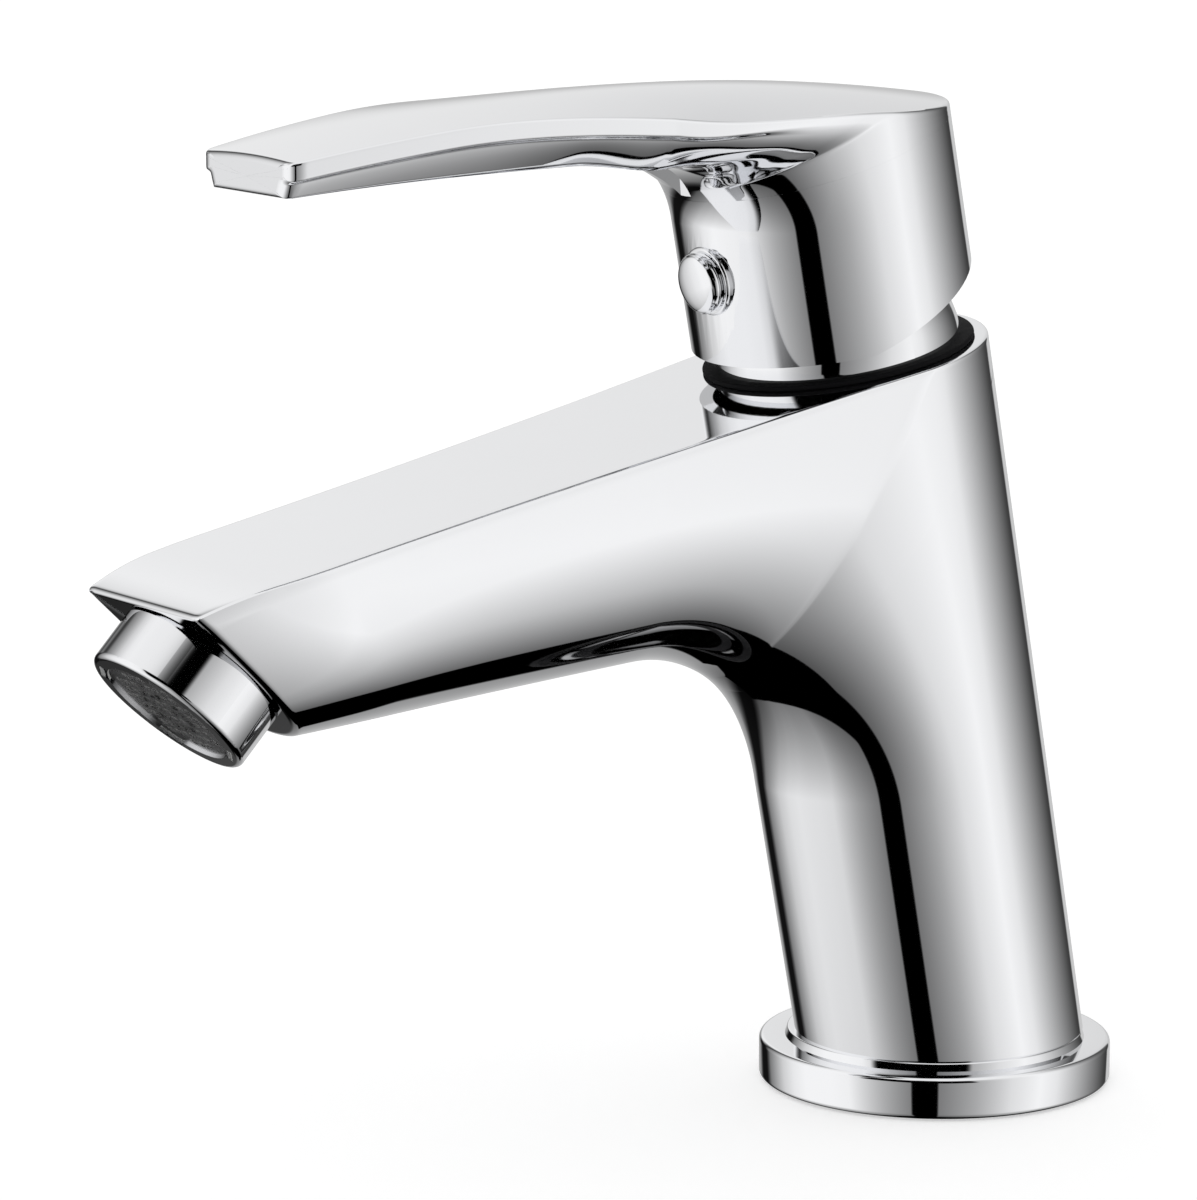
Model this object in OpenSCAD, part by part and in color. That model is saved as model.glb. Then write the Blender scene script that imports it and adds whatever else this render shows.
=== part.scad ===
// Single-lever basin mixer: leaning column body with a long spout, deck ring,
// ceramic disc cartridge, lever handle and spout-end aerator.
// Origin: centre of the ring's underside. +Z up, spout and lever point to -Y.

/* [Deck ring] */
// Outer diameter of the deck ring
ring_d = 54; // [50:0.5:60]
// Height of the deck ring's flange
ring_h = 6.4; // [5:0.2:9]
// Radius of the flange's rounded edges
ring_edge = 0.8; // [0.3:0.1:1.5]
// Height of the thin collar between flange and column
collar_h = 1.2; // [0.8:0.1:2]
// How far that collar stands out of the column
collar_lip = 0.8; // [0.4:0.1:1.2]
// Depth of the groove for the deck seal
seal_h = 1.6; // [1:0.1:2.5]
// Radial width of the deck seal
seal_w = 2.4; // [1.6:0.1:2.8]

/* [Column] */
// Lean of the column and of the cartridge axis towards the spout, in degrees
lean = 11; // [9:0.5:13]
// Diameter of the column at its foot
column_d = 43.8; // [43:0.2:45]
// Diameter of the column's top rim
rim_d = 45; // [44.4:0.2:46]
// Distance along the leaning axis from the deck to the rim plane
rim_w = 116; // [115:0.5:118]
// How far the column's foot stands behind the ring's centre
foot_back = 0.8; // [0.4:0.1:1]
// Diameter of the foot's spigot inside the deck ring
spigot_d = 40; // [39:0.2:41]
// Length of the round arch from the column to the spout's underside
arch_r = 26; // [23:1:27]
// Squareness of that arch, 2 is a circular arc
arch_m = 2; // [2:0.1:2.4]

/* [Spout] */
// Horizontal distance from the ring's centre to the centre of the outlet face
reach = 131.4; // [128:0.5:136]
// Height of the centre of the outlet face above the deck
outlet_z = 79.2; // [78:0.5:80.5]
// Tilt of the outlet face's axis forwards from straight down, in degrees
outlet_tilt = 44; // [41:1:46]
// Height of the spout's underside above the deck at the outlet
spout_z = 67.9; // [66.4:0.2:68.6]
// Rise of the spout's underside towards the column, in degrees
spout_rise = 3.6; // [2.6:0.2:4.6]
// Width of the spout's flat top before its end rounds in
spout_w = 35.3; // [34:0.5:37]
// Width of the outlet face
outlet_w = 29.6; // [28.4:0.2:31]
// Length over which the end of the flat top rounds in
nose_l = 20; // [16:1:24]
// Drop of the spout's top at its very end
nose_drop = 1.4; // [0.8:0.1:2]

/* [Waterways] */
// Bore of the cartridge chamber
chamber_d = 35.4; // [35.2:0.1:35.6]
// Distance along the axis from the deck to the chamber's floor
chamber_w = 76; // [75:0.5:78]
// Bore above the chamber that holds the clamping nut
nut_bore_d = 35.8; // [35.7:0.1:36]
// Bore of the hollow foot that takes the hoses
foot_bore_d = 25; // [24.2:0.2:25.2]
// Depth of that hollow along the axis
foot_bore_w = 48; // [40:1:54]
// Bore of the two threaded hose inlets in its roof
inlet_d = 9; // [8.6:0.1:9.4]
// Depth of the hose inlets
inlet_depth = 14; // [11:0.5:16]
// Distance between the two hose inlets
inlet_pitch = 14.4; // [13.6:0.2:15.4]
// Distance of hollow and inlets behind the leaning axis
inlet_back = 2; // [1.6:0.2:2.4]
// Bore of the two supply channels
supply_d = 6; // [5:0.5:6.5]
// Bore of the threaded hole for the fixing stud
stud_d = 5; // [4.8:0.1:5.2]
// Depth of that hole
stud_depth = 14; // [10:1:15]
// Distance of the fixing stud in front of the ring's centre
stud_front = 16; // [15.6:0.1:16.2]
// Bore of the hollow spout
spout_bore_d = 18; // [16:0.5:19]
// Bore of the port from the chamber into the spout
port_bore_d = 6; // [5:0.5:6.4]
// Depth of the outlet's bore inside the spout
outlet_depth = 8; // [7:0.5:9]
// Diameter of the threaded outlet nipple
nipple_d = 22; // [21.6:0.1:22.4]
// Length of that nipple
nipple_h = 5; // [4.4:0.2:5.4]
// Bore of the nipple
nipple_bore_d = 15; // [14:0.2:16]

/* [Cartridge] */
// Diameter of the cartridge housing
cart_d = 34.8; // [34.6:0.1:35]
// Height of the cartridge's base with its ports
cart_base_h = 8; // [7.6:0.2:8.4]
// Wall of the cartridge housing
cart_wall = 2; // [1.6:0.1:2.2]
// Outer diameter of the housing's neck above the nut
neck_d = 26; // [25.4:0.2:26.4]
// Diameter of the fixed ceramic disc
disc_d = 28; // [27:0.2:29]
// Diameter of the moving ceramic disc
disc2_d = 20.6; // [20:0.2:21.2]
// Thickness of each ceramic disc
disc_h = 4; // [3.6:0.1:4.2]
// Diameter of each port in base and discs
port_d = 5; // [4.4:0.2:5.4]
// Height of the carrier that moves the upper disc
carrier_h = 4.4; // [4.2:0.1:4.6]
// Height of the clamping nut
nut_h = 8; // [7:0.5:9]
// Clearance between the clamping nut and the housing's neck
nut_gap = 0.5; // [0.4:0.05:0.8]

/* [Lever mechanism] */
// Distance of the pivot pin above the deck along the axis
pin_w = 109; // [108.6:0.2:109.4]
// Diameter of the pivot pin
pin_d = 3; // [2.6:0.1:3.2]
// Side of the square spindle
spindle_w = 8; // [7.4:0.2:8.4]
// Distance along the axis from the deck to the spindle's top
spindle_top_w = 141; // [138:0.5:142]
// Diameter of the ball that drives the carrier
ball_d = 6; // [5.6:0.1:6.2]
// Lift of the lever when fully open, in degrees
lift = 17; // [14:1:18]

/* [Dome cover] */
// Outer diameter of the dome cover
dome_d = 36.8; // [36.4:0.1:37]
// Height of the dome cover
dome_h = 6; // [5:0.2:6.2]
// Radius of its domed flank
dome_arc = 14; // [12:0.5:18]
// Height of the dark slip ring under it
slip_h = 0.8; // [0.6:0.1:1]

/* [Lever] */
// Outer diameter of the lever's round base
lever_d = 43; // [42.6:0.2:44]
// Distance from the deck along the axis to the lever's lower edge
lever_w = 120; // [119.9:0.1:120.6]
// Distance in front of the axis where the lower edge starts to rise
heel_v = 8; // [7:0.5:9]
// Height of the lever's crest above the deck
lever_z = 155.6; // [155:0.1:156.4]
// Horizontal distance from the ring's centre to that crest
lever_peak = 57; // [52:1:60]
// Radius of the lever's long top curve
lever_top_r = 365; // [345:5:420]
// Horizontal distance from the ring's centre to the lever's tip
lever_tip = 123.4; // [118:0.2:130]
// Length over which the lever's tip rounds in
tip_round = 4; // [3:0.5:8]
// Width of the lever at its tip
tip_w = 23.2; // [22:0.4:28]
// Thickness of the lever blade near its base
blade_h0 = 7.2; // [6.4:0.2:8]
// Thickness of the lever blade at its tip
blade_h1 = 5; // [4.6:0.2:5.6]
// Height of the blade's upright edge
edge_h = 2.6; // [2:0.2:3]
// Set-back of the blade's underside from that edge
edge_step = 1.2; // [0.8:0.1:1.6]
// Crown of the lever's top across its round base
crown = 5.4; // [4.8:0.2:6.2]
// Wall of the lever casting
lever_wall = 2; // [1.8:0.1:2.1]
// Length along the blade of the arch between the lever's base and its blade
neck_run = 15; // [12:0.5:18]
// Length down the lever's base of the same arch
neck_drop = 11; // [9:0.5:12]

/* [Screw and button] */
// Distance along the axis from the deck to the set screw's centre
screw_w = 132.8; // [132:0.2:133.6]
// Diameter of the set screw
screw_d = 5; // [4:0.5:5.5]
// Length of the set screw
screw_l = 9; // [8:0.5:10]
// Outer diameter of the button's bezel ring
button_ring_d = 10.4; // [10:0.2:11]
// Diameter of the domed button
button_d = 8; // [7.6:0.1:8.4]

/* [Aerator] */
// Outer diameter of the aerator's housing
aerator_d = 25.2; // [24.8:0.1:25.6]
// Length of the housing that stands out of the spout
aerator_h = 8.6; // [8.2:0.1:9.4]
// Bore of the housing at its mouth
mouth_d = 20; // [19.4:0.2:20.6]
// Number of spanner slots in the housing's rim
spanner_slots = 4; // [2:1:6]
// Pitch of the outlet screen's square mesh
mesh_pitch = 1.9; // [1.7:0.1:2.3]
// Width of the outlet screen's wires
mesh_wire = 0.6; // [0.4:0.1:0.7]

/* [Hidden] */
$fn = 96;

// Radial running clearance of pins and turning pieces
run = 0.05;
// Small gap between pieces that lie close without touching
gap = 0.3;
// Overshoot of a cut past the face it opens
past = 1;
// A distance beyond every part of the mixer
far = 400;

up_w = [-sin(lean), cos(lean)];
up_v = [-cos(lean), -sin(lean)];
foot_z = ring_h + collar_h;
spigot_z = 1;
axis0 = [foot_back + foot_z * tan(lean), 0];

function cross2(p, q) = p[0] * q[1] - p[1] * q[0];
function unit2(p) = p / norm(p);
function mix(p, q, t) = p + (q - p) * t;
function aw(w, v = 0) = axis0 + w * up_w + v * up_v;
// Distance from p along d to the line through q along e
function along(p, d, q, e) = cross2(q - p, e) / cross2(d, e);
// The same, and far away where the line isn't met ahead of p
function ahead(p, d, q, e) = let (r = along(p, d, q, e)) r > 0 && r < far ? r : far;
function soft_min(p, q, k) = (p + q - sqrt((p - q) * (p - q) + k * k)) / 2;
function smooth(t) = let (u = min(1, max(0, t))) u * u * (3 - 2 * u);
// Point of the arch that joins two lines meeting at corner c, along e and f
function arch_pt(c, e, f, m, t) =
    c + (1 - pow(sin(t), 2 / m)) * e + (1 - pow(cos(t), 2 / m)) * f;

// Moves children into the leaning frame: Z up the axis, -Y towards the spout
module lean_at(w, v = 0) {
    translate([0, aw(w, v)[0], aw(w, v)[1]])
        rotate([lean, 0, 0])
            children();
}

// A round rod between two points of the middle plane
module rod(p, q, d) {
    translate([0, p[0], p[1]])
        rotate([atan2(q[1] - p[1], q[0] - p[0]) - 90, 0, 0])
            cylinder(d = d, h = norm(q - p));
}

// A plain ring standing on the plane z = 0
module ring(r_out, r_in, h) {
    difference() {
        cylinder(r = r_out, h = h);
        translate([0, 0, -past])
            cylinder(r = r_in, h = h + 2 * past);
    }
}

function mean(r) = [for (a = [0:2]) [for (p = r) p[a]] * [for (p = r) 1] / len(r)];

// Skins a list of equal point rings into one closed solid
module skin(rings) {
    n = len(rings[0]);
    s = len(rings);
    points = concat([for (r = rings) each r], [mean(rings[0]), mean(rings[s - 1])]);
    sides = [for (i = [0:s - 2], j = [0:n - 1])
        let (a = i * n + j, b = i * n + (j + 1) % n)
        each [[a, b + n, a + n], [a, b, b + n]]];
    low = [for (j = [0:n - 1]) [(j + 1) % n, j, s * n]];
    high = [for (j = [0:n - 1]) [(s - 1) * n + j, (s - 1) * n + (j + 1) % n, s * n + 1]];
    polyhedron(points = points, faces = concat(sides, low, high), convexity = 10);
}

// Largest such share: it leaves a narrow flat along an uncut back
full_cut = 0.995;
// Share of the outer radius at which a crowned top cuts a round section
function cut_share(l, h, cr) =
    cr < 0.01 ? h / l : (l - sqrt(max(0, l * l - 4 * cr * (h - cr)))) / (2 * cr);

// Round half-section as [x, distance]: from the cut top edge to the inner edge.
// sec = [pivot, direction, inner, centre, outer, top, half width, exponent, crown, blade]
function round_half(sec, k) =
    let (ri = sec[2], rc = sec[3], ro = sec[4], a = sec[6],
         l = ro - rc, h = sec[5] - rc,
         th0 = -asin(h >= l ? full_cut : min(full_cut, max(0, cut_share(l, h, sec[8])))))
    [for (i = [0:k]) let (th = th0 + (90 - th0) * i / k)
        [a * cos(th), th < 0 ? rc - sin(th) * (ro - rc)
            : rc + pow(sin(th), 2 / sec[7]) * (ri - rc)]];

// Blade half-section: upright edge, step, rounded belly
function blade_half(sec, k) =
    let (top = sec[5] - sec[8], depth = top - sec[2], a = sec[6], e = edge_h + edge_step / 3)
    [for (i = [0:k])
        i < 3 ? [a, top - edge_h * i / 2]
        : let (t = 90 * (i - 3) / (k - 3))
          [(a - edge_step) * pow(cos(t), 0.7), top - e - (depth - e) * pow(sin(t), 0.9)]];

// Closed ring of points of one section
function ring_pts(sec, k, m) =
    let (ra = round_half(sec, k), f = sec[9],
         half = f == 0 ? ra : let (rb = blade_half(sec, k)) [for (i = [0:k]) mix(ra[i], rb[i], f)],
         xt = half[0][0], lift_c = sec[8] * min(1, xt * xt / (sec[6] * sec[6])),
         flat = [for (j = [1:m - 1]) let (u = 1 - 2 * j / m)
             [-xt * u, half[0][1] + lift_c * (1 - u * u)]],
         loop = concat(half, [for (i = [k - 1:-1:0]) [-half[i][0], half[i][1]]], flat))
    [for (h = loop) [h[0], sec[0][0] + h[1] * sec[1][0], sec[0][1] + h[1] * sec[1][1]]];

// 2D half profile of a ring: square bore, outer edge rounded at the top
module edge_profile(r_in, r_out, h, e) {
    translate([r_in, 0])
        square([r_out - r_in, h - e]);
    translate([r_in, 0])
        square([r_out - r_in - e, h]);
    translate([r_out - e, h - e])
        circle(r = e);
}

module o_ring(r_mid, r_sec) {
    rotate_extrude()
        translate([r_mid, 0])
            circle(r = r_sec, $fn = 48);
}

// ---------------------------------------------------------------- body shape

function col_r(w) = mix(column_d, rim_d, w / rim_w) / 2;
rim_c = aw(rim_w);
front_e = unit2(aw(0, col_r(0)) - aw(rim_w, col_r(rim_w)));
under_e = [-cos(spout_rise), -sin(spout_rise)];
out_c = [-reach, outlet_z];
out_t = [cos(outlet_tilt), -sin(outlet_tilt)];
out_n = [-sin(outlet_tilt), -cos(outlet_tilt)];
low_end = out_c + out_t * (outlet_z - spout_z) / sin(outlet_tilt);
corner = aw(0, col_r(0)) + front_e * along(aw(0, col_r(0)), front_e, low_end, under_e);
pivot = corner + arch_r * (front_e + under_e);
low_start = corner + arch_r * under_e;
top_start = low_start + up_w * along(low_start, up_w, rim_c, up_v);
nose = out_c + out_t * along(out_c, out_t, rim_c - [0, nose_drop], up_v) + [0, nose_drop];
taper_l = 0.86 * (reach + rim_c[0]);

// Half width of the flat top at horizontal distance u in front of the rim's centre
function top_half(u) = spout_w / 2
    + (rim_d - spout_w) / 2 * pow(min(1, max(0, 1 - u / taper_l)), 1.7)
    - (spout_w - outlet_w) / 2 * pow(max(0, 1 - (rim_c[0] - nose[0] - u) / nose_l), 1.9);

// Section of the column, or of the arch where an inner distance is given
function column_sec(p, d, inner, n) =
    let (ra = ahead(p, d, axis0, up_w), rt = ahead(p, d, rim_c, up_v),
         w = (p + ra * d - axis0) * up_w,
         b = min(far, col_r(min(w, rim_w)) / abs(cross2(d, up_w))),
         u = rim_c[0] - (p + rt * d)[0])
    [p, d, inner < 0 ? ra - b : inner, soft_min(ra, rt, 0.5), ra + b, rt,
     ra < rt ? col_r(w) : top_half(u), n, 0, 0];

// Parameter of the body's arch in direction g from the pivot, by halving
function arch_t(g, lo = 0, hi = 90, k = 18) =
    k == 0 ? (lo + hi) / 2
    : let (t = (lo + hi) / 2, q = arch_pt(corner, arch_r * front_e, arch_r * under_e, arch_m, t) - pivot)
      atan2(q[1], q[0]) < g ? arch_t(g, t, hi, k - 1) : arch_t(g, lo, t, k - 1);

function arch_sec(g) =
    let (t = arch_t(g),
         q = arch_pt(corner, arch_r * front_e, arch_r * under_e, arch_m, t) - pivot)
    column_sec(pivot, [cos(g), sin(g)], norm(q), 2 + 0.6 * smooth(t / 90));

function spout_sec(t) =
    let (low = mix(low_start, low_end, t), flat = mix(top_start, nose, t),
         end = max(0, 1 - (flat - nose)[0] / (0.6 * nose_l)),
         top = flat - [0, nose_drop * end * end], l = norm(top - low))
    [low, unit2(top - low), 0, l, l + past, l, top_half(rim_c[0] - flat[0]),
     2.6 + 1.6 * t * t * t, 0, 0];

// Direction from point p to point q
function aim(p, q) = atan2(q[1] - p[1], q[0] - p[0]);
arch_g0 = aim(pivot, pivot - under_e);
arch_g1 = aim(pivot, low_start);
rear_g = aim(pivot, aw(rim_w, -rim_d / 2));
centre_g = aim(pivot, rim_c);

module body_shape() {
    n_column = 9;
    n_rim = 12;
    n_root = 9;
    n_spout = 16;
    skin([for (s = concat(
        [column_sec([pivot[0], foot_z], [1, 0], -1, 2)],
        [for (i = [0:n_column - 1]) arch_sec(arch_g0 + (rear_g - arch_g0) * i / n_column)],
        [for (i = [0:n_rim]) arch_sec(aim(pivot, aw(rim_w, -rim_d / 2 * cos(90 * i / n_rim))))],
        [for (i = [1:n_root]) arch_sec(centre_g + (arch_g1 - centre_g) * i / n_root)],
        [for (i = [1:n_spout]) spout_sec(1 - pow(1 - i / n_spout, 1.5))]))
        ring_pts(s, 20, 2)]);
}

// Moves children to the outlet face, Z pointing out of it
module out_at(h) {
    translate([0, (out_c + h * out_n)[0], (out_c + h * out_n)[1]])
        rotate([180 - outlet_tilt, 0, 0])
            children();
}

core_a = mix(pivot, top_start, 0.6);
core_b = out_c - 9.5 * out_n + 5.5 * out_t;
inlet_w = foot_bore_w + inlet_depth;
port_w = chamber_w + cart_base_h / 2;
port_v = 3;
port_back = -7;

module body() {
    color([0.82, 0.84, 0.86])
    difference() {
        union() {
            body_shape();
            translate([0, 0, spigot_z])
                cylinder(d = spigot_d, h = foot_z - spigot_z + past);
            out_at(-past)
                cylinder(d = nipple_d, h = nipple_h + past);
        }
        lean_at(chamber_w)
            cylinder(d = chamber_d, h = rim_w - chamber_w + past);
        lean_at(rim_w - nut_h)
            rotate([0, 0, 50])
                cylinder(d = nut_bore_d, h = nut_h + past);
        lean_at(-foot_z, -inlet_back)
            cylinder(d = foot_bore_d, h = foot_bore_w + foot_z);
        for (x = [-1, 1] * inlet_pitch / 2)
            translate([x, 0, 0]) {
                lean_at(foot_bore_w - past, -inlet_back)
                    cylinder(d = inlet_d, h = inlet_depth + past);
                rod(aw(inlet_w - past, -inlet_back), aw(chamber_w + past, port_v), supply_d);
            }
        translate([0, -stud_front, 0])
            cylinder(d = stud_d, h = spigot_z + stud_depth);
        rod(aw(port_w, chamber_d / 2 - 2 * past), core_a, port_bore_d);
        rod(core_a, core_b, spout_bore_d);
        out_at(-outlet_depth)
            cylinder(d = nipple_bore_d, h = outlet_depth + nipple_h + past);
    }
}

// ------------------------------------------------------------------ deck ring

seal_r = (ring_d - spigot_d) / 4 + spigot_d / 2;

module base_ring() {
    color([0.82, 0.84, 0.86])
    difference() {
        rotate_extrude() {
            translate([spigot_d / 2, 0])
                square([ring_d / 2 - spigot_d / 2 - ring_edge, ring_h]);
            translate([0, ring_edge])
                edge_profile(spigot_d / 2, ring_d / 2, ring_h - ring_edge, ring_edge);
            translate([ring_d / 2 - ring_edge, ring_edge])
                circle(r = ring_edge);
            translate([spigot_d / 2, 0])
                square([column_d / 2 + collar_lip - spigot_d / 2, foot_z]);
        }
        translate([0, 0, -past])
            ring(seal_r + seal_w / 2, seal_r - seal_w / 2, seal_h + past);
    }
}

module deck_seal() {
    color([0.12, 0.12, 0.13])
        ring(seal_r + seal_w / 2, seal_r - seal_w / 2, seal_h);
}

// ------------------------------------------------------------------ cartridge

base_top_w = chamber_w + cart_base_h;
disc2_w = base_top_w + disc_h;
carrier_w = disc2_w + disc_h;
shoulder_w = rim_w - nut_h;
roof_w = shoulder_w - 4;
neck_top_w = rim_w + 2;
ball_w = carrier_w + ball_d / 2 + 0.2;
cavity_r = cart_d / 2 - cart_wall;
turret_d = neck_d - 2 * cart_wall;
turret_r = turret_d / 2;
nut_id = neck_d + 2 * nut_gap;
port_seal_h = 1.4;
pocket_w = inlet_pitch + 1.6;

module cartridge_nut() {
    color([0.80, 0.68, 0.42])
    lean_at(shoulder_w)
        difference() {
            ring(nut_bore_d / 2 - run, nut_id / 2, nut_h);
            for (a = [45, 135])
                rotate([0, 0, a])
                    translate([-nut_bore_d / 2, -2, nut_h - 2.5])
                        cube([nut_bore_d, 4, 2.5 + past]);
        }
}

module slip_ring() {
    color([0.08, 0.08, 0.09])
    lean_at(rim_w)
        ring(dome_d / 2 - 0.5, neck_d / 2 + gap, slip_h);
}

module dome_cover() {
    color([0.86, 0.87, 0.88])
    lean_at(rim_w + slip_h)
        rotate_extrude()
            difference() {
                intersection() {
                    translate([neck_d / 2 + gap, 0])
                        square([dome_d / 2 - neck_d / 2 - gap, dome_h]);
                    translate([dome_d / 2 - dome_arc, 0])
                        circle(r = dome_arc);
                }
                translate([0, -past])
                    square([dome_d / 2 - 2.4, dome_h - 1.2 + past]);
            }
}

module cartridge_housing() {
    color([0.90, 0.90, 0.88])
    lean_at(base_top_w)
        difference() {
            union() {
                cylinder(d = cart_d, h = shoulder_w - base_top_w);
                cylinder(d = neck_d, h = neck_top_w - base_top_w);
            }
            translate([0, 0, -past])
                cylinder(r = cavity_r, h = roof_w - base_top_w + past);
            cylinder(r = turret_r + run, h = neck_top_w - base_top_w + past);
        }
}

// The two inlet ports, then the outlet port, cut from z = 0 upwards
module ports(h) {
    for (x = [-1, 1] * inlet_pitch / 2)
        translate([x, -port_v, -past])
            cylinder(d = port_d, h = h + 2 * past);
    translate([0, -port_back, -past])
        cylinder(d = port_d, h = h + 2 * past);
}

module cartridge_base() {
    color([0.90, 0.90, 0.88])
    lean_at(chamber_w)
        difference() {
            cylinder(d = cart_d, h = cart_base_h);
            for (x = [-1, 1] * inlet_pitch / 2)
                translate([x, -port_v, -past]) {
                    cylinder(d = port_d, h = cart_base_h + 2 * past);
                    cylinder(d = port_d + 4, h = port_seal_h + past);
                }
            translate([0, -port_back, port_w - chamber_w])
                cylinder(d = port_d, h = cart_base_h);
            translate([0, -port_back, port_w - chamber_w])
                rotate([90, 0, 0])
                    cylinder(d = port_d, h = cart_d);
        }
}

module port_seals() {
    color([0.15, 0.15, 0.16])
    for (x = [-1, 1] * inlet_pitch / 2)
        translate([x, 0, 0])
            lean_at(chamber_w, port_v)
                ring(port_d / 2 + 2, port_d / 2 + 0.4, port_seal_h);
}

module fixed_disc() {
    color([0.95, 0.95, 0.93])
    lean_at(base_top_w)
        difference() {
            cylinder(d = disc_d, h = disc_h);
            ports(disc_h);
        }
}

module moving_disc() {
    color([0.93, 0.92, 0.88])
    lean_at(disc2_w)
        difference() {
            cylinder(d = disc2_d, h = disc_h);
            translate([0, -port_back, -past])
                cylinder(d = port_d, h = disc_h / 2 + past);
            translate([-port_d / 2, 1.5, -past])
                cube([port_d, -port_back - 1.5, disc_h / 2 + past]);
            translate([-pocket_w / 2, 1.5, -past])
                cube([pocket_w, 4, disc_h / 2 + past]);
        }
}

module disc_carrier() {
    color([0.30, 0.45, 0.70])
    lean_at(carrier_w)
        difference() {
            cylinder(d = disc2_d, h = carrier_h);
            translate([-ball_d / 2 - 0.1, -ball_d / 2 - 0.1, -past])
                cube([ball_d + 0.2, ball_d + 0.2, carrier_h + 2 * past]);
        }
}

slot_w = spindle_w + 0.2;
turret_low_w = carrier_w + carrier_h + 0.6;
turret_top_w = neck_top_w + 2.6;
tab_half = 20;
turn_half = 46;
stem_w = neck_top_w - 4.6;
cap_r = turret_r - 0.8;
tab_r = cap_r + 1.4;
lean_reach = (turret_top_w - pin_w) * tan(lift) + spindle_w / 2 / cos(lift) + 0.2;
drop_reach = (pin_w - turret_low_w) * tan(lift) + spindle_w / 2 / cos(lift) + 0.2;
short_reach = spindle_w / 2 / cos(lift) + 0.1;

// A pie slice on the rear side, a degrees to each side
module slice(r, a) {
    polygon(concat([[0, 0]], [for (t = [-a:a / 6:a]) r * [sin(t), cos(t)]]));
}

module turret() {
    color([0.25, 0.26, 0.28])
    lean_at(turret_low_w)
        difference() {
            union() {
                cylinder(r = turret_r, h = neck_top_w - turret_low_w);
                translate([0, 0, roof_w - turret_low_w - 4])
                    cylinder(r = cavity_r - gap, h = 4 - run);
                cylinder(r = cap_r, h = turret_top_w - turret_low_w);
                translate([0, 0, neck_top_w - turret_low_w - past])
                    linear_extrude(turret_top_w - neck_top_w)
                        intersection() {
                            circle(r = tab_r - past);
                            slice(neck_d, tab_half);
                        }
            }
            translate([-slot_w / 2, -short_reach, pin_w - turret_low_w])
                cube([slot_w, short_reach + lean_reach, turret_top_w - pin_w + past]);
            translate([-slot_w / 2, -drop_reach, -past])
                cube([slot_w, short_reach + drop_reach, pin_w - turret_low_w + 2 * past]);
            translate([0, 0, pin_w - turret_low_w])
                rotate([0, 90, 0])
                    cylinder(d = pin_d, h = turret_d, center = true);
            translate([0, 0, stem_w - turret_low_w])
                ring(turret_r + past, turret_r - 1.4, 1.4);
        }
}

module stem_seal() {
    color([0.12, 0.12, 0.13])
    lean_at(stem_w + 0.7)
        o_ring(turret_r - 0.7, 0.7);
}

module pivot_pin() {
    color([0.70, 0.71, 0.73])
    lean_at(pin_w)
        rotate([0, 90, 0])
            cylinder(d = pin_d, h = turret_d - 1, center = true);
}

module spindle() {
    color([0.72, 0.73, 0.75])
    lean_at(ball_w)
        difference() {
            union() {
                sphere(d = ball_d);
                cylinder(d = ball_d - 1, h = 6);
                translate([-spindle_w / 2, -spindle_w / 2, 4])
                    cube([spindle_w, spindle_w, spindle_top_w - ball_w - 4]);
            }
            translate([0, 0, pin_w - ball_w])
                rotate([0, 90, 0])
                    cylinder(d = pin_d + 2 * run, h = 2 * spindle_w, center = true);
        }
}

module limit_ring() {
    color([0.75, 0.20, 0.18])
    lean_at(neck_top_w)
        linear_extrude(1.5)
            difference() {
                circle(d = neck_d);
                circle(r = cap_r + gap);
                intersection() {
                    circle(r = tab_r + gap);
                    slice(neck_d, tab_half + turn_half);
                }
            }
}

// ---------------------------------------------------------------------- lever

lever_r = lever_d / 2;
tip_crown = 0.5;
function top_z(y) = lever_z - (y + lever_peak) * (y + lever_peak) / (2 * lever_top_r);
// Crown across the top: full over the round base, slight along the blade
function crown_at(y) = tip_crown + (crown - tip_crown) * (1 - smooth((-y - 32) / 68));
base_y = aw(lever_w + 35)[0];
function lever_half(y) = tip_w / 2 + (lever_r - tip_w / 2)
    * (1 - pow(min(1, max(0, (base_y - y) / (base_y + lever_tip))), 1.55));
root_y = -lever_peak - 3;
root = [root_y, top_z(root_y) - crown_at(root_y) - blade_h0];
tip = [-lever_tip, top_z(-lever_tip) - tip_crown - blade_h1];
belly_e = unit2(tip - root);
neck = aw(0, lever_r) + up_w * along(aw(0, lever_r), up_w, root, belly_e);
neck_pivot = neck + neck_run * belly_e - neck_drop * up_w;
belly_start = neck + neck_run * belly_e;

// Distance from p along d to the lever's long top curve
function top_dist(p, d) =
    let (a = d[0] * d[0] / (2 * lever_top_r),
         b = d[1] + (p[0] + lever_peak) * d[0] / lever_top_r,
         c = p[1] - top_z(p[0]))
    -2 * c / (b + sqrt(max(0, b * b - 4 * a * c)));

function lever_sec(p, d, inner, rounding) =
    let (ra = ahead(p, d, axis0, up_w), rt = top_dist(p, d),
         b = min(far, lever_r / abs(cross2(d, up_w))),
         y = (p + min(rt, ra + b) * d)[0], cr = crown_at(y), near = ra < rt - cr)
    [p, d, inner < 0 ? ra - b : inner, soft_min(ra, rt - cr, 0.5), ra + b, rt,
     (near ? lever_r : lever_half(y)) * rounding, 2, cr,
     near ? 0 : smooth((base_y - 6 - y) / 36)];

// Parameter of the lever's arch in direction g, by halving
function neck_t(g, lo = 0, hi = 90, k = 18) =
    k == 0 ? (lo + hi) / 2
    : let (t = (lo + hi) / 2,
           q = arch_pt(neck, -neck_drop * up_w, neck_run * belly_e, 2, t) - neck_pivot)
      atan2(q[1], q[0]) < g ? neck_t(g, t, hi, k - 1) : neck_t(g, lo, t, k - 1);

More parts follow.
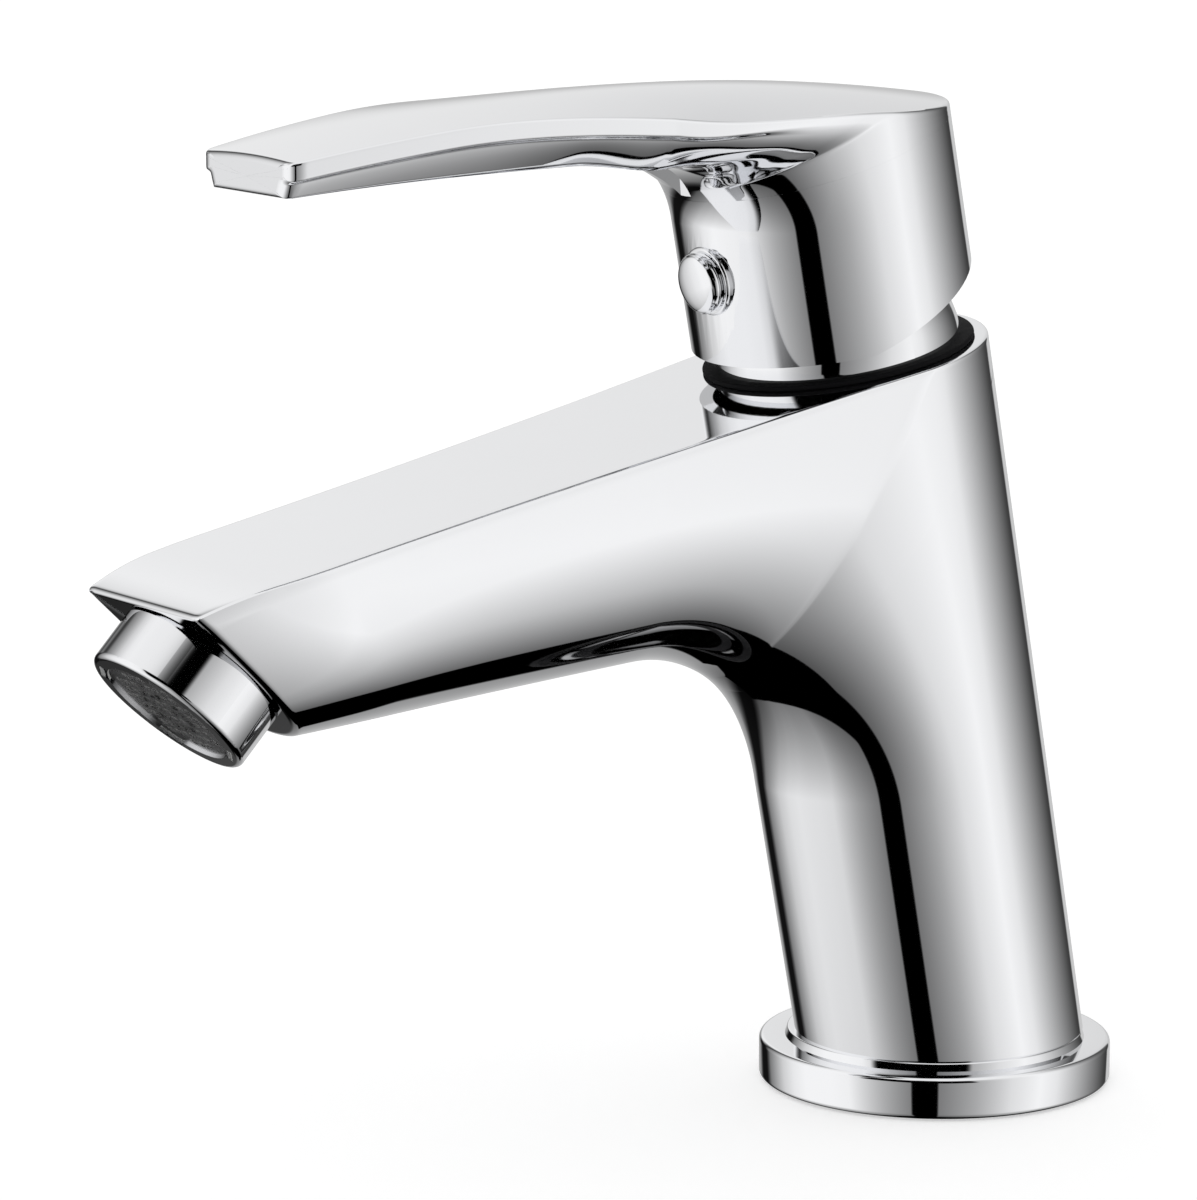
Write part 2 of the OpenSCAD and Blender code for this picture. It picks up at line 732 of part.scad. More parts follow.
function neck_sec(g) =
    let (q = arch_pt(neck, -neck_drop * up_w, neck_run * belly_e, 2, neck_t(g)) - neck_pivot)
    lever_sec(neck_pivot, [cos(g), sin(g)], norm(q), 1);

function blade_sec(t) =
    let (low = mix(belly_start, tip, t), s = max(0, 1 - (low[0] + lever_tip) / tip_round))
    lever_sec(low, unit2(mix(up_w, [0, 1], t)), 0, pow(1 - 0.96 * pow(s, 2.5), 0.4));

cavity_w = lever_w + 28.5;
channel_y = -lever_tip + 6;
channel_tilt = atan((top_z(root_y) - top_z(-lever_tip)) / (root_y + lever_tip));

heel_top = aw(top_dist(aw(0, -lever_r), up_w), -lever_r);
neck_g0 = aim(neck_pivot, neck_pivot - belly_e);
neck_g1 = aim(neck_pivot, belly_start);
heel_g = aim(neck_pivot, heel_top);
function crest_g(y) = aim(neck_pivot, [y, top_z(y)]);

module lever_shape() {
    n_cup = 3;
    n_rim = 12;
    n_neck = 7;
    n_blade = 20;
    skin([for (s = concat(
        [lever_sec(aw(lever_w, lever_r + neck_run), -up_v, -1, 1)],
        [for (i = [0:n_cup - 1]) neck_sec(neck_g0 + (heel_g - neck_g0) * i / n_cup)],
        [for (i = [0:n_rim])
            neck_sec(crest_g(mix(base_y, heel_top[0], cos(90 * i / n_rim))))],
        [for (i = [1:n_neck])
            neck_sec(crest_g(base_y) + (neck_g1 - crest_g(base_y)) * i / n_neck)],
        [for (i = [1:n_blade]) blade_sec(1 - pow(1 - i / n_blade, 1.8))]))
        ring_pts(s, 20, 6)]);
}

// The hollow under the blade, ending in a V on the neck
module channel() {
    translate([0, root_y, top_z(root_y) - crown_at(root_y) - lever_wall])
        rotate([channel_tilt, 0, 0])
            translate([0, -root_y, -2 * blade_h0])
                linear_extrude(2 * blade_h0)
                    polygon([[-tip_w / 2 + 4, channel_y], [tip_w / 2 - 4, channel_y],
                             [tip_w / 2, root_y - 6], [1.2, neck[0] - 1.5],
                             [-1.2, neck[0] - 1.5], [-tip_w / 2, root_y - 6]]);
}

boss_r = spindle_w / 2 + 3.5;
boss_w = 127;
grip_v = spindle_w / 2;

// Runs children along the screw's axis: Z towards the spout, from distance v
module screw_at(v) {
    lean_at(screw_w, v)
        rotate([90, 0, 0])
            children();
}

module lever() {
    color([0.85, 0.86, 0.88])
    difference() {
        union() {
            difference() {
                lever_shape();
                lean_at(lever_w - past)
                    cylinder(r = lever_r - lever_wall, h = cavity_w - lever_w + past);
                lean_at(lever_w, heel_v)
                    rotate([lift, 0, 0])
                        translate([-lever_d, 0, -lever_d])
                            cube([2 * lever_d, 2 * lever_d, lever_d]);
                channel();
            }
            lean_at(boss_w)
                cylinder(r = boss_r, h = cavity_w - boss_w + past);
            screw_at(grip_v + past)
                cylinder(d = screw_d + 4, h = lever_r - lever_wall - grip_v);
        }
        lean_at(boss_w - past)
            translate([-spindle_w / 2, -spindle_w / 2, 0])
                cube([spindle_w, spindle_w, spindle_top_w - boss_w + past]);
        screw_at(grip_v - past)
            cylinder(d = screw_d, h = lever_r);
        screw_at(lever_r - 3.2)
            cylinder(d = button_d, h = lever_r);
        screw_at(lever_r - 1.6)
            cylinder(d = button_ring_d, h = lever_r);
    }
}

module set_screw() {
    color([0.35, 0.36, 0.38])
    screw_at(grip_v)
        difference() {
            cylinder(d = screw_d, h = screw_l);
            translate([0, 0, screw_l - 2.5])
                cylinder(d = screw_d / 2, h = 2.5 + past, $fn = 6);
        }
}

module button_ring() {
    color([0.80, 0.81, 0.83])
    screw_at(lever_r - 1.6)
        rotate_extrude()
            edge_profile(button_d / 2, button_ring_d / 2, 2.1, 0.5);
}

module button() {
    color([0.88, 0.89, 0.90])
    screw_at(lever_r - 3.2)
        rotate_extrude()
            intersection() {
                translate([0, 0])
                    square([button_d / 2, 6]);
                union() {
                    square([button_d / 2, 3.4]);
                    translate([0, 4.8 - button_d])
                        circle(r = button_d);
                }
            }
}

// -------------------------------------------------------------------- aerator

housing_bore_h = aerator_h - 0.9;
washer_h = 1.2;
insert_h = housing_bore_h - nipple_h - washer_h;

module aerator_housing() {
    color([0.86, 0.87, 0.88])
    out_at(gap)
        difference() {
            rotate_extrude()
                edge_profile(mouth_d / 2, aerator_d / 2, aerator_h - gap, 0.8);
            translate([0, 0, -past])
                cylinder(d = nipple_d, h = housing_bore_h - gap + past);
            for (i = [0:spanner_slots - 1])
                rotate([0, 0, 360 * (i + 0.5) / spanner_slots])
                    translate([mouth_d / 2 - past, -2, housing_bore_h - gap])
                        cube([past + 1.2, 4, 2 * past]);
        }
}

module aerator_washer() {
    color([0.12, 0.12, 0.13])
    out_at(nipple_h)
        ring(nipple_d / 2, nipple_bore_d / 2, washer_h);
}

module aerator_insert() {
    color([0.90, 0.90, 0.88])
    out_at(0)
        difference() {
            union() {
                cylinder(d = nipple_bore_d - 0.6, h = housing_bore_h);
                translate([0, 0, nipple_h + washer_h])
                    cylinder(d = nipple_d, h = insert_h);
            }
            for (i = [0:11])
                rotate([0, 0, 30 * i])
                    translate([nipple_bore_d / 2 - 3, 0, -past])
                        cylinder(d = 2, h = housing_bore_h + 2 * past);
            for (i = [0:5])
                rotate([0, 0, 60 * i])
                    translate([2.2, 0, -past])
                        cylinder(d = 1.4, h = housing_bore_h + 2 * past);
        }
}

module flow_regulator() {
    color([0.30, 0.55, 0.35])
    out_at(-3)
        difference() {
            cylinder(d = nipple_bore_d - 1, h = 3);
            translate([0, 0, 1.5])
                ring(nipple_bore_d / 2 - 2, 2.4, 1.5 + past);
            for (i = [0:7])
                rotate([0, 0, 45 * i])
                    translate([4.4, 0, -past])
                        cylinder(d = 1.2, h = 3 + 2 * past);
        }
}

module aerator_screen() {
    color([0.72, 0.73, 0.75])
    out_at(housing_bore_h)
        linear_extrude(0.5)
            difference() {
                circle(d = mouth_d);
                for (i = [-5:5], j = [-5:5])
                    if (norm([i, j]) * mesh_pitch < mouth_d / 2 - mesh_pitch)
                        translate([i, j] * mesh_pitch)
                            square(mesh_pitch - mesh_wire, center = true);
            }
}

body();
base_ring();
deck_seal();
cartridge_nut();
slip_ring();
dome_cover();
cartridge_housing();
cartridge_base();
port_seals();
fixed_disc();
moving_disc();
disc_carrier();
turret();
stem_seal();
pivot_pin();
spindle();
limit_ring();
lever();
set_screw();
button_ring();
button();
aerator_housing();
aerator_washer();
flow_regulator();
aerator_insert();
aerator_screen();
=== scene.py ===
import math

import bmesh
import bpy
import numpy as np
from mathutils import Matrix, Vector
from mathutils.bvhtree import BVHTree


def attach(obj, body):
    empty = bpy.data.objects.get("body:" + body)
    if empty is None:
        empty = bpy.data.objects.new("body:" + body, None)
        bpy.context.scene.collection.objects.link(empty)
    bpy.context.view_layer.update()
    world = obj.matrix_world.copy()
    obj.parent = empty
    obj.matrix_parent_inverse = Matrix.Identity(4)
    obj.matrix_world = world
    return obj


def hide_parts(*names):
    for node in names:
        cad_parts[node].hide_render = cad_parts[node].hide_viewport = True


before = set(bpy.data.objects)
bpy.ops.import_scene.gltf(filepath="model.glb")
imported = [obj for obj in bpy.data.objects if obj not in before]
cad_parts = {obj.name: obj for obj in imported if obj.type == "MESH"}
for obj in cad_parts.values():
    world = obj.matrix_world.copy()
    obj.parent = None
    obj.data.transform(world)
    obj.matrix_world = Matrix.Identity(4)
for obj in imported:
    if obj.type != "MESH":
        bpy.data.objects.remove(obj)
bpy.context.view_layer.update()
MM = 0.001
X, Y, Z = np.eye(3)

# ---------------------------------------------------------------- camera

CAMERA_AZIMUTH = math.radians(54.207)
CAMERA_ELEVATION = math.radians(10.383)
CAMERA_PLACE = Vector((0.64999, -0.53248, 0.22791))
LENS_PIXELS = 5609
PHOTO_HEIGHT = 1200
SENSOR = 36


def make_camera():
    a, e = CAMERA_AZIMUTH, CAMERA_ELEVATION
    right = Vector((math.cos(a), math.sin(a), 0))
    back = Vector((math.sin(a) * math.cos(e), -math.cos(a) * math.cos(e), math.sin(e)))
    up = back.cross(right)
    data = bpy.data.cameras.new("camera")
    data.sensor_width = SENSOR
    data.lens = LENS_PIXELS / PHOTO_HEIGHT * SENSOR
    data.clip_start, data.clip_end = 0.01, 50
    camera = bpy.data.objects.new("camera", data)
    turn = Matrix((right, up, back)).transposed()
    camera.matrix_world = Matrix.Translation(CAMERA_PLACE) @ turn.to_4x4()
    bpy.context.scene.collection.objects.link(camera)
    bpy.context.scene.camera = camera


make_camera()

# ---------------------------------------------------------------- measures, mm

RING_H, COLLAR_H = 6.4, 1.2
LEAN = math.radians(11)
COLUMN_D, RIM_D, RIM_W, FOOT_BACK, SPIGOT_D, SPIGOT_Z = 43.8, 45.0, 116.0, 0.8, 40.0, 1.0
ARCH_R, ARCH_M = 26.0, 2.0
REACH, OUTLET_Z, OUTLET_TILT = 131.4, 79.2, math.radians(44)
SPOUT_Z, SPOUT_RISE, SPOUT_W, OUTLET_W = 67.9, math.radians(3.6), 35.3, 29.6
NOSE_L, NOSE_DROP = 20.0, 1.4
LEVER_D, LEVER_W, HEEL_V, LEVER_Z, LEVER_PEAK = 43.0, 120.0, 8.0, 155.6, 57.0
LEVER_TOP_R, LEVER_TIP, TIP_ROUND, TIP_W, TIP_CROWN = 365.0, 123.4, 2.4, 23.2, 0.5
BLADE_H0, BLADE_H1, EDGE_H, EDGE_STEP, CROWN, LEVER_WALL = 7.2, 5.0, 2.6, 1.2, 5.4, 2.0
NECK_RUN, NECK_DROP = 15.0, 11.0
LIFT = math.radians(17)
TAPER_SHARE, TAPER_POWER, NOSE_POWER, NOSE_CURVE = 0.86, 1.7, 1.9, 0.6
ARCH_SQUARE, SPOUT_SQUARE, NOSE_SQUARE = 0.6, 2.6, 1.6
CROWN_FROM, CROWN_RUN, BASE_RISE, WAIST_POWER = 32.0, 68.0, 35.0, 1.55
BLADE_FROM, BLADE_RUN, ROOT_BACK, BLEND = 6.0, 36.0, 3.0, 0.5
BELLY_BOW, BELLY_BOW_START, TIP_DRAW = 1.6, 0.25, 0.12
SLANT_TIP, SLANT_GROWTH, SLANT_SHARE, SLANT_POWER = 0.8, 0.4, 0.3, 0.85
FAR = 400.0
PAST = 1.0


def v2(a, b):
    return np.array([a, b], float)


def cross2(p, q):
    return p[0] * q[1] - p[1] * q[0]


def unit(p):
    return p / np.linalg.norm(p)


def mix(p, q, t):
    return p + (q - p) * t


def along(p, d, q, e):
    return cross2(q - p, e) / cross2(d, e)


def ahead(p, d, q, e):
    c = cross2(d, e)
    r = cross2(q - p, e) / c if abs(c) > 1e-12 else -1
    return r if 0 < r < FAR else FAR


def soft_min(p, q, k):
    return (p + q - math.sqrt((p - q) ** 2 + k * k)) / 2


def smooth(t):
    u = min(1, max(0, t))
    return u * u * (3 - 2 * u)


def arch_pt(c, e, f, m, t):
    return c + (1 - math.sin(t) ** (2 / m)) * e + (1 - math.cos(t) ** (2 / m)) * f


def aim(p, q):
    return math.atan2(q[1] - p[1], q[0] - p[0])


UP_W = v2(-math.sin(LEAN), math.cos(LEAN))
UP_V = v2(-math.cos(LEAN), -math.sin(LEAN))
FOOT_Z = RING_H + COLLAR_H
AXIS0 = v2(FOOT_BACK + FOOT_Z * math.tan(LEAN), 0)


def aw(w, v=0.0):
    return AXIS0 + w * UP_W + v * UP_V


def at(yz, x=0.0):
    return np.array([x, yz[0], yz[1]])


W3 = at(UP_W)

# ---------------------------------------------------------------- sections

HALF_STEPS = 20


def graded(total, first, ratio, n):
    """n + 1 places from 0 to total whose steps grow from first by ratio up to an even step."""
    lo, hi = 0.0, total
    for _ in range(60):
        even = (lo + hi) / 2
        steps = np.minimum(first * ratio ** np.arange(n), even)
        lo, hi = (even, hi) if steps.sum() < total else (lo, even)
    places = np.concatenate([[0], np.cumsum(steps)])
    return places * total / places[-1]


class Section:
    """One cut through a form: a round half, a flat or crowned top and, on the blade, an edge."""

    def __init__(s, p, d, inner, centre, outer, top, half, expo, crown, blade, near):
        s.p, s.d, s.inner, s.centre, s.outer, s.top = p, d, inner, centre, outer, top
        s.half, s.expo, s.crown, s.blade, s.near = half, expo, crown, blade, near

    def start(s):
        length, h, cr = s.outer - s.centre, s.top - s.centre, s.crown
        if h >= length:
            return FULL_CUT
        root = math.sqrt(max(0, length * length - 4 * cr * (h - cr)))
        share = h / length if cr < 0.01 else (length - root) / (2 * cr)
        return min(FULL_CUT, max(0, share))

    def round_half(s, k):
        th0 = -math.asin(s.start())
        th = th0 + (math.pi / 2 - th0) * k / HALF_STEPS
        out = s.centre - np.sin(th) * (s.outer - s.centre)
        lift = np.maximum(0, np.sin(th)) ** (2 / s.expo)
        return s.half * np.cos(th), np.where(th < 0, out, s.centre + lift * (s.inner - s.centre))

    def blade_half(s, k):
        top, a = s.top - s.crown, s.half
        depth, e = top - s.inner, EDGE_H + EDGE_STEP / 3
        t = np.clip((k - 3) / (HALF_STEPS - 3), 0, 1)
        slant = np.minimum(1, t / SLANT_SHARE)
        flat = np.maximum(0, (t - SLANT_SHARE) / (1 - SLANT_SHARE))
        low = max(0, a - EDGE_STEP)
        inset = SLANT_TIP + SLANT_GROWTH * max(0, a - TIP_W / 2)
        belly = (low - inset * slant - (low - inset) * flat,
                 top - e - (depth - e) * slant ** SLANT_POWER)
        step = np.clip(k - 2, 0, 1)
        edge = a + (low - a) * step, top - EDGE_H * np.minimum(k, 2) / 2 - (e - EDGE_H) * step
        return np.where(k < 3, edge[0], belly[0]), np.where(k < 3, edge[1], belly[1])

    def half_at(s, k):
        x, r = s.round_half(k)
        if s.blade > 0:
            bx, br = s.blade_half(k)
            x, r = mix(x, bx, s.blade), mix(r, br, s.blade)
        return np.stack([x, r])

    def ring(s, ks, us):
        """Points round the section: one half down, the other up, then across the top."""
        half = s.half_at(ks)
        if s.blade > 0:
            for corner in (2, 3):
                near = np.abs(ks - corner) < EDGE_SOFT
                tau = (ks[near] - corner + EDGE_SOFT) / (2 * EDGE_SOFT)
                a, b, c = (s.half_at(np.full(1, corner + q)) for q in (-EDGE_SOFT, 0, EDGE_SOFT))
                half[:, near] = (1 - tau) ** 2 * a + 2 * tau * (1 - tau) * b + tau ** 2 * c
        xt, rt = half[0, 0], half[1, 0]
        u = np.concatenate([-us[1:], us[::-1][1:-1]])
        if s.start() >= FULL_CUT:
            across = s.centre + (s.outer - s.centre) * np.sqrt(1 - (xt * u / s.half) ** 2)
        else:
            across = rt + s.crown * min(1, (xt / s.half) ** 2) * (1 - u * u)
        x = np.concatenate([half[0], -half[0, -2::-1], xt * u])
        r = np.concatenate([half[1], half[1, -2::-1], across])
        return np.stack([x, s.p[0] + r * s.d[0], s.p[1] + r * s.d[1]], 1)


FULL_CUT = 0.9999
EDGE_SOFT = 0.3
FLAT_N = 16
FLAT_US = 1 - graded(1, 0.006, 1.4, FLAT_N)
BODY_KS = graded(HALF_STEPS, 0.06, 1.35, 52)
LEVER_KS = np.concatenate([
    [0, 0.06, 0.15, 0.27, 0.43, 0.65, 0.95, 1.3, 1.55, 1.7, 1.8, 1.9, 2.0, 2.1, 2.2, 2.3,
     2.5, 2.7, 2.8, 2.9, 3.0, 3.1, 3.2, 3.3],
    3.3 + graded(HALF_STEPS - 3.3, 0.2, 1.2, 36)[1:]])

# ---------------------------------------------------------------- body shape


def col_r(w):
    return mix(COLUMN_D, RIM_D, w / RIM_W) / 2


RIM_C = aw(RIM_W)
FRONT_E = unit(aw(0, col_r(0)) - aw(RIM_W, col_r(RIM_W)))
UNDER_E = v2(-math.cos(SPOUT_RISE), -math.sin(SPOUT_RISE))
OUT_C = v2(-REACH, OUTLET_Z)
OUT_T = v2(math.cos(OUTLET_TILT), -math.sin(OUTLET_TILT))
OUT_N = v2(-math.sin(OUTLET_TILT), -math.cos(OUTLET_TILT))
LOW_END = OUT_C + OUT_T * (OUTLET_Z - SPOUT_Z) / math.sin(OUTLET_TILT)
CORNER = aw(0, col_r(0)) + FRONT_E * along(aw(0, col_r(0)), FRONT_E, LOW_END, UNDER_E)
PIVOT = CORNER + ARCH_R * (FRONT_E + UNDER_E)
LOW_START = CORNER + ARCH_R * UNDER_E
TOP_START = LOW_START + UP_W * along(LOW_START, UP_W, RIM_C, UP_V)
DROP = v2(0, NOSE_DROP)
NOSE = OUT_C + OUT_T * along(OUT_C, OUT_T, RIM_C - DROP, UP_V) + DROP
TAPER_L = TAPER_SHARE * (REACH + RIM_C[0])


def top_half(u):
    taper = min(1, max(0, 1 - u / TAPER_L)) ** TAPER_POWER
    end = max(0, 1 - (RIM_C[0] - NOSE[0] - u) / NOSE_L) ** NOSE_POWER
    return SPOUT_W / 2 + (RIM_D - SPOUT_W) / 2 * taper - (SPOUT_W - OUTLET_W) / 2 * end


def column_sec(p, d, inner, expo):
    ra, rt = ahead(p, d, AXIS0, UP_W), ahead(p, d, RIM_C, UP_V)
    w = (p + ra * d - AXIS0) @ UP_W
    b = min(FAR, col_r(min(w, RIM_W)) / max(1e-9, abs(cross2(d, UP_W))))
    u = RIM_C[0] - (p + rt * d)[0]
    near = ra < rt
    return Section(p, d, ra - b if inner is None else inner, soft_min(ra, rt, BLEND),
                   ra + b, rt, col_r(w) if near else top_half(u), expo, 0, 0, near)


def arch_t(g, corner, e, f, m, pivot):
    lo, hi = 0.0, math.pi / 2
    for _ in range(30):
        t = (lo + hi) / 2
        q = arch_pt(corner, e, f, m, t) - pivot
        angle = math.atan2(q[1], q[0])
        lo, hi = (t, hi) if angle < g else (lo, t)
    return (lo + hi) / 2


def arch_sec(g):
    t = arch_t(g, CORNER, ARCH_R * FRONT_E, ARCH_R * UNDER_E, ARCH_M, PIVOT)
    q = arch_pt(CORNER, ARCH_R * FRONT_E, ARCH_R * UNDER_E, ARCH_M, t) - PIVOT
    return column_sec(PIVOT, v2(math.cos(g), math.sin(g)), np.linalg.norm(q),
                      2 + ARCH_SQUARE * smooth(t * 2 / math.pi))


def spout_sec(t):
    low, flat = mix(LOW_START, LOW_END, t), mix(TOP_START, NOSE, t)
    end = max(0, 1 - (flat - NOSE)[0] / (NOSE_CURVE * NOSE_L))
    top = flat - DROP * end * end
    reach = np.linalg.norm(top - low)
    return Section(low, unit(top - low), 0, reach, reach + PAST, reach,
                   top_half(RIM_C[0] - flat[0]), SPOUT_SQUARE + NOSE_SQUARE * t ** 3, 0, 0, False)


# ---------------------------------------------------------------- lever shape

LEVER_R = LEVER_D / 2


def top_z(y):
    return LEVER_Z - (y + LEVER_PEAK) ** 2 / (2 * LEVER_TOP_R)


def crown_at(y):
    return TIP_CROWN + (CROWN - TIP_CROWN) * (1 - smooth((-y - CROWN_FROM) / CROWN_RUN))


BASE_Y = aw(LEVER_W + BASE_RISE)[0]
ROOT_Y = -LEVER_PEAK - ROOT_BACK
ROOT = v2(ROOT_Y, top_z(ROOT_Y) - crown_at(ROOT_Y) - BLADE_H0)
TIP = v2(-LEVER_TIP, top_z(-LEVER_TIP) - TIP_CROWN - BLADE_H1)
BELLY_E = unit(TIP - ROOT)
NECK = aw(0, LEVER_R) + UP_W * along(aw(0, LEVER_R), UP_W, ROOT, BELLY_E)
NECK_PIVOT = NECK + NECK_RUN * BELLY_E - NECK_DROP * UP_W
BELLY_START = NECK + NECK_RUN * BELLY_E


def lever_half(y):
    share = min(1, max(0, (BASE_Y - y) / (BASE_Y + LEVER_TIP)))
    return TIP_W / 2 + (LEVER_R - TIP_W / 2) * (1 - share ** WAIST_POWER)


def top_dist(p, d):
    a = d[0] * d[0] / (2 * LEVER_TOP_R)
    b = d[1] + (p[0] + LEVER_PEAK) * d[0] / LEVER_TOP_R
    c = p[1] - top_z(p[0])
    return -2 * c / (b + math.sqrt(max(0, b * b - 4 * a * c)))


def lever_sec(p, d, inner, rounding):
    ra, rt = ahead(p, d, AXIS0, UP_W), top_dist(p, d)
    b = min(FAR, LEVER_R / max(1e-9, abs(cross2(d, UP_W))))
    y = (p + min(rt, ra + b) * d)[0]
    cr = crown_at(y)
    near = ra < rt - cr
    return Section(p, d, ra - b if inner is None else inner, soft_min(ra, rt - cr, BLEND),
                   ra + b, rt, (LEVER_R if near else lever_half(y)) * rounding, 2, cr,
                   0 if near else smooth((BASE_Y - BLADE_FROM - y) / BLADE_RUN), near)


def neck_sec(g):
    t = arch_t(g, NECK, -NECK_DROP * UP_W, NECK_RUN * BELLY_E, 2, NECK_PIVOT)
    q = arch_pt(NECK, -NECK_DROP * UP_W, NECK_RUN * BELLY_E, 2, t) - NECK_PIVOT
    return lever_sec(NECK_PIVOT, v2(math.cos(g), math.sin(g)), np.linalg.norm(q), 1)


def blade_sec(t):
    low = mix(BELLY_START, TIP, t)
    low = low + v2(0, BELLY_BOW * smooth(t / BELLY_BOW_START) * (1 - t ** 3))
    s = min(1, max(0, 1 - (low[0] + LEVER_TIP) / TIP_ROUND))
    rounding = 1 - TIP_DRAW * (1 - math.sqrt(1 - s * s))
    return lever_sec(low, unit(mix(UP_W, v2(0, 1), t)), 0, rounding)


HEEL_TOP = aw(top_dist(aw(0, -LEVER_R), UP_W), -LEVER_R)
NECK_G0 = aim(NECK_PIVOT, NECK_PIVOT - BELLY_E)
NECK_G1 = aim(NECK_PIVOT, BELLY_START)


def crest_g(y):
    return aim(NECK_PIVOT, v2(y, top_z(y)))


# ---------------------------------------------------------------- mesh tools


def new_object(name, points, faces):
    mesh = bpy.data.meshes.new(name)
    mesh.from_pydata([tuple(p) for p in np.asarray(points) * MM], [], faces)
    mesh.validate()
    obj = bpy.data.objects.new(name, mesh)
    bpy.context.scene.collection.objects.link(obj)
    return obj


def skin_faces(rows, n):
    """Quads between neighbouring rings of n points."""
    faces = []
    for i in range(rows - 1):
        for j in range(n):
            a, b = i * n + j, i * n + (j + 1) % n
            faces.append((a, b, b + n, a + n))
    return faces


def closed_skin(name, rings):
    """A solid through equal rings of points, closed by a fan at each end."""
    rings = np.asarray(rings)
    rows, n = rings.shape[:2]
    faces = skin_faces(rows, n)
    points = np.concatenate([rings.reshape(-1, 3), [rings[0].mean(0), rings[-1].mean(0)]])
    low, high = rows * n, rows * n + 1
    faces += [((j + 1) % n, j, low) for j in range(n)]
    faces += [((rows - 1) * n + j, (rows - 1) * n + (j + 1) % n, high) for j in range(n)]
    return new_object(name, points, faces)


BLOCK = 400
END_FAN = 0.985, 0.93, 0.8, 0.6, 0.4, 0.2
ON_SHELL, SAME_WAY = 2e-6, 0.9


def fillet(rings, first, k_last, edge_info, radius):
    """Rounds the edge where the top meets the sides: every point within its radius of
    that edge moves onto an arc that touches both faces."""
    rows, n = rings.shape[:2]
    path = np.concatenate([rings[first:, 0], rings[:first - 1:-1, 2 * k_last]])
    owner = np.concatenate([np.arange(first, rows), np.arange(rows - 1, first - 1, -1)])
    tangent = np.roll(path, -1, 0) - np.roll(path, 1, 0)
    tangent[0], tangent[-1] = path[1] - path[0], path[-1] - path[-2]
    end = rows - first
    tangent[end - 1], tangent[end] = path[end - 1] - path[end - 2], path[end + 1] - path[end]
    tangent /= np.linalg.norm(tangent, axis=1)[:, None]
    inward, down, size = np.zeros_like(path), np.zeros_like(path), np.zeros(len(path))
    for i, (p, t, row) in enumerate(zip(path, tangent, owner)):
        normal, side = edge_info(row, p)
        a = np.cross(normal, t)
        a /= np.linalg.norm(a)
        if a @ (rings[row].mean(0) - p) < 0 and i not in (0, len(path) - 1):
            a = -a
        b = side - (side @ t) * t
        b /= np.linalg.norm(b)
        inward[i], down[i], size[i] = a, b, radius(p)
    inward[0] = inward[-1] = Y * -1
    out = rings.copy()
    flat = rings.reshape(-1, 3)
    top = np.zeros((rows, n), bool)
    top[first:, 2 * k_last + 1:] = True
    top[first:, 0] = top[first:, 2 * k_last] = True
    top = top.reshape(-1)
    a, b = path, np.roll(path, -1, 0)
    seg = b - a
    length2 = np.maximum(1e-12, (seg ** 2).sum(1))
    skip = np.zeros(len(path), bool)
    skip[end - 1] = skip[-1] = True
    big = size.max()
    todo = np.arange(len(flat))
    low, high = path.min(0) - big, path.max(0) + big
    todo = todo[((flat >= low) & (flat <= high)).all(1)]
    moved = flat.copy()
    for block in np.array_split(todo, max(1, len(todo) // BLOCK)):
        p = flat[block]
        t = np.clip(((p[:, None] - a) * seg).sum(2) / length2, 0, 1)
        q = a + t[..., None] * seg
        d2 = ((p[:, None] - q) ** 2).sum(2)
        d2[:, skip] = math.inf
        k = d2.argmin(1)
        each = np.arange(len(block))
        tt, qq, s = t[each, k][:, None], q[each, k], np.sqrt(d2[each, k])
        k1 = (k + 1) % len(path)
        r = (size[k] * (1 - tt[:, 0]) + size[k1] * tt[:, 0])
        i1 = inward[k] * (1 - tt) + inward[k1] * tt
        d1 = down[k] * (1 - tt) + down[k1] * tt
        i1 /= np.linalg.norm(i1, axis=1)[:, None]
        d1 /= np.linalg.norm(d1, axis=1)[:, None]
        inside = s < r
        f = np.where(top[block], (1 - s / r) / 2, (1 + s / r) / 2)
        new = qq + (((1 - f) ** 2 * r)[:, None] * i1) + ((f ** 2 * r)[:, None] * d1)
        moved[block[inside]] = new[inside]
    return moved.reshape(out.shape)


def round_end(rings, count, radius, normal):
    """Draws the last rings in along a quarter circle, so that the end face gets a soft edge."""
    out = rings.copy()
    n = len(rings)
    for j in range(count):
        i = n - count + j
        phi = math.pi / 2 * (j + 1) / count
        ring = rings[i]
        tangent = np.roll(ring, -1, 0) - np.roll(ring, 1, 0)
        inward = np.cross(tangent, normal)
        inward /= np.maximum(1e-9, np.linalg.norm(inward, axis=1))[:, None]
        if ((ring.mean(0) - ring) * inward).sum() < 0:
            inward = -inward
        out[i] = ring + inward * radius * (1 - math.cos(phi))
    centre = out[-1].mean(0)
    inner = [centre + (out[-1] - centre) * f for f in END_FAN]
    return np.concatenate([out, inner])


def lathe(name, profile, n, place):
    """A closed solid turned from a closed (radius, height) profile about place's Z."""
    ang = np.arange(n) / n * 2 * math.pi
    prof = np.asarray(profile, float)
    pts, faces, m = [], [], len(prof)
    for r, z in prof:
        pts.append(np.stack([r * np.cos(ang), r * np.sin(ang), np.full(n, z)], 1))
    pts = np.concatenate(pts)
    for i in range(m):
        k = (i + 1) % m
        for j in range(n):
            a, b = i * n + j, i * n + (j + 1) % n
            c, d = k * n + (j + 1) % n, k * n + j
            faces.append((a, b, c, d))
    obj = new_object(name, place(pts), faces)
    bm = bmesh.new()
    bm.from_mesh(obj.data)
    bmesh.ops.remove_doubles(bm, verts=bm.verts, dist=1e-7)
    bmesh.ops.delete(bm, geom=[e for e in bm.edges if not e.link_faces], context="EDGES")
    bm.to_mesh(obj.data)
    bm.free()
    smooth_shading(obj, 40)
    return obj


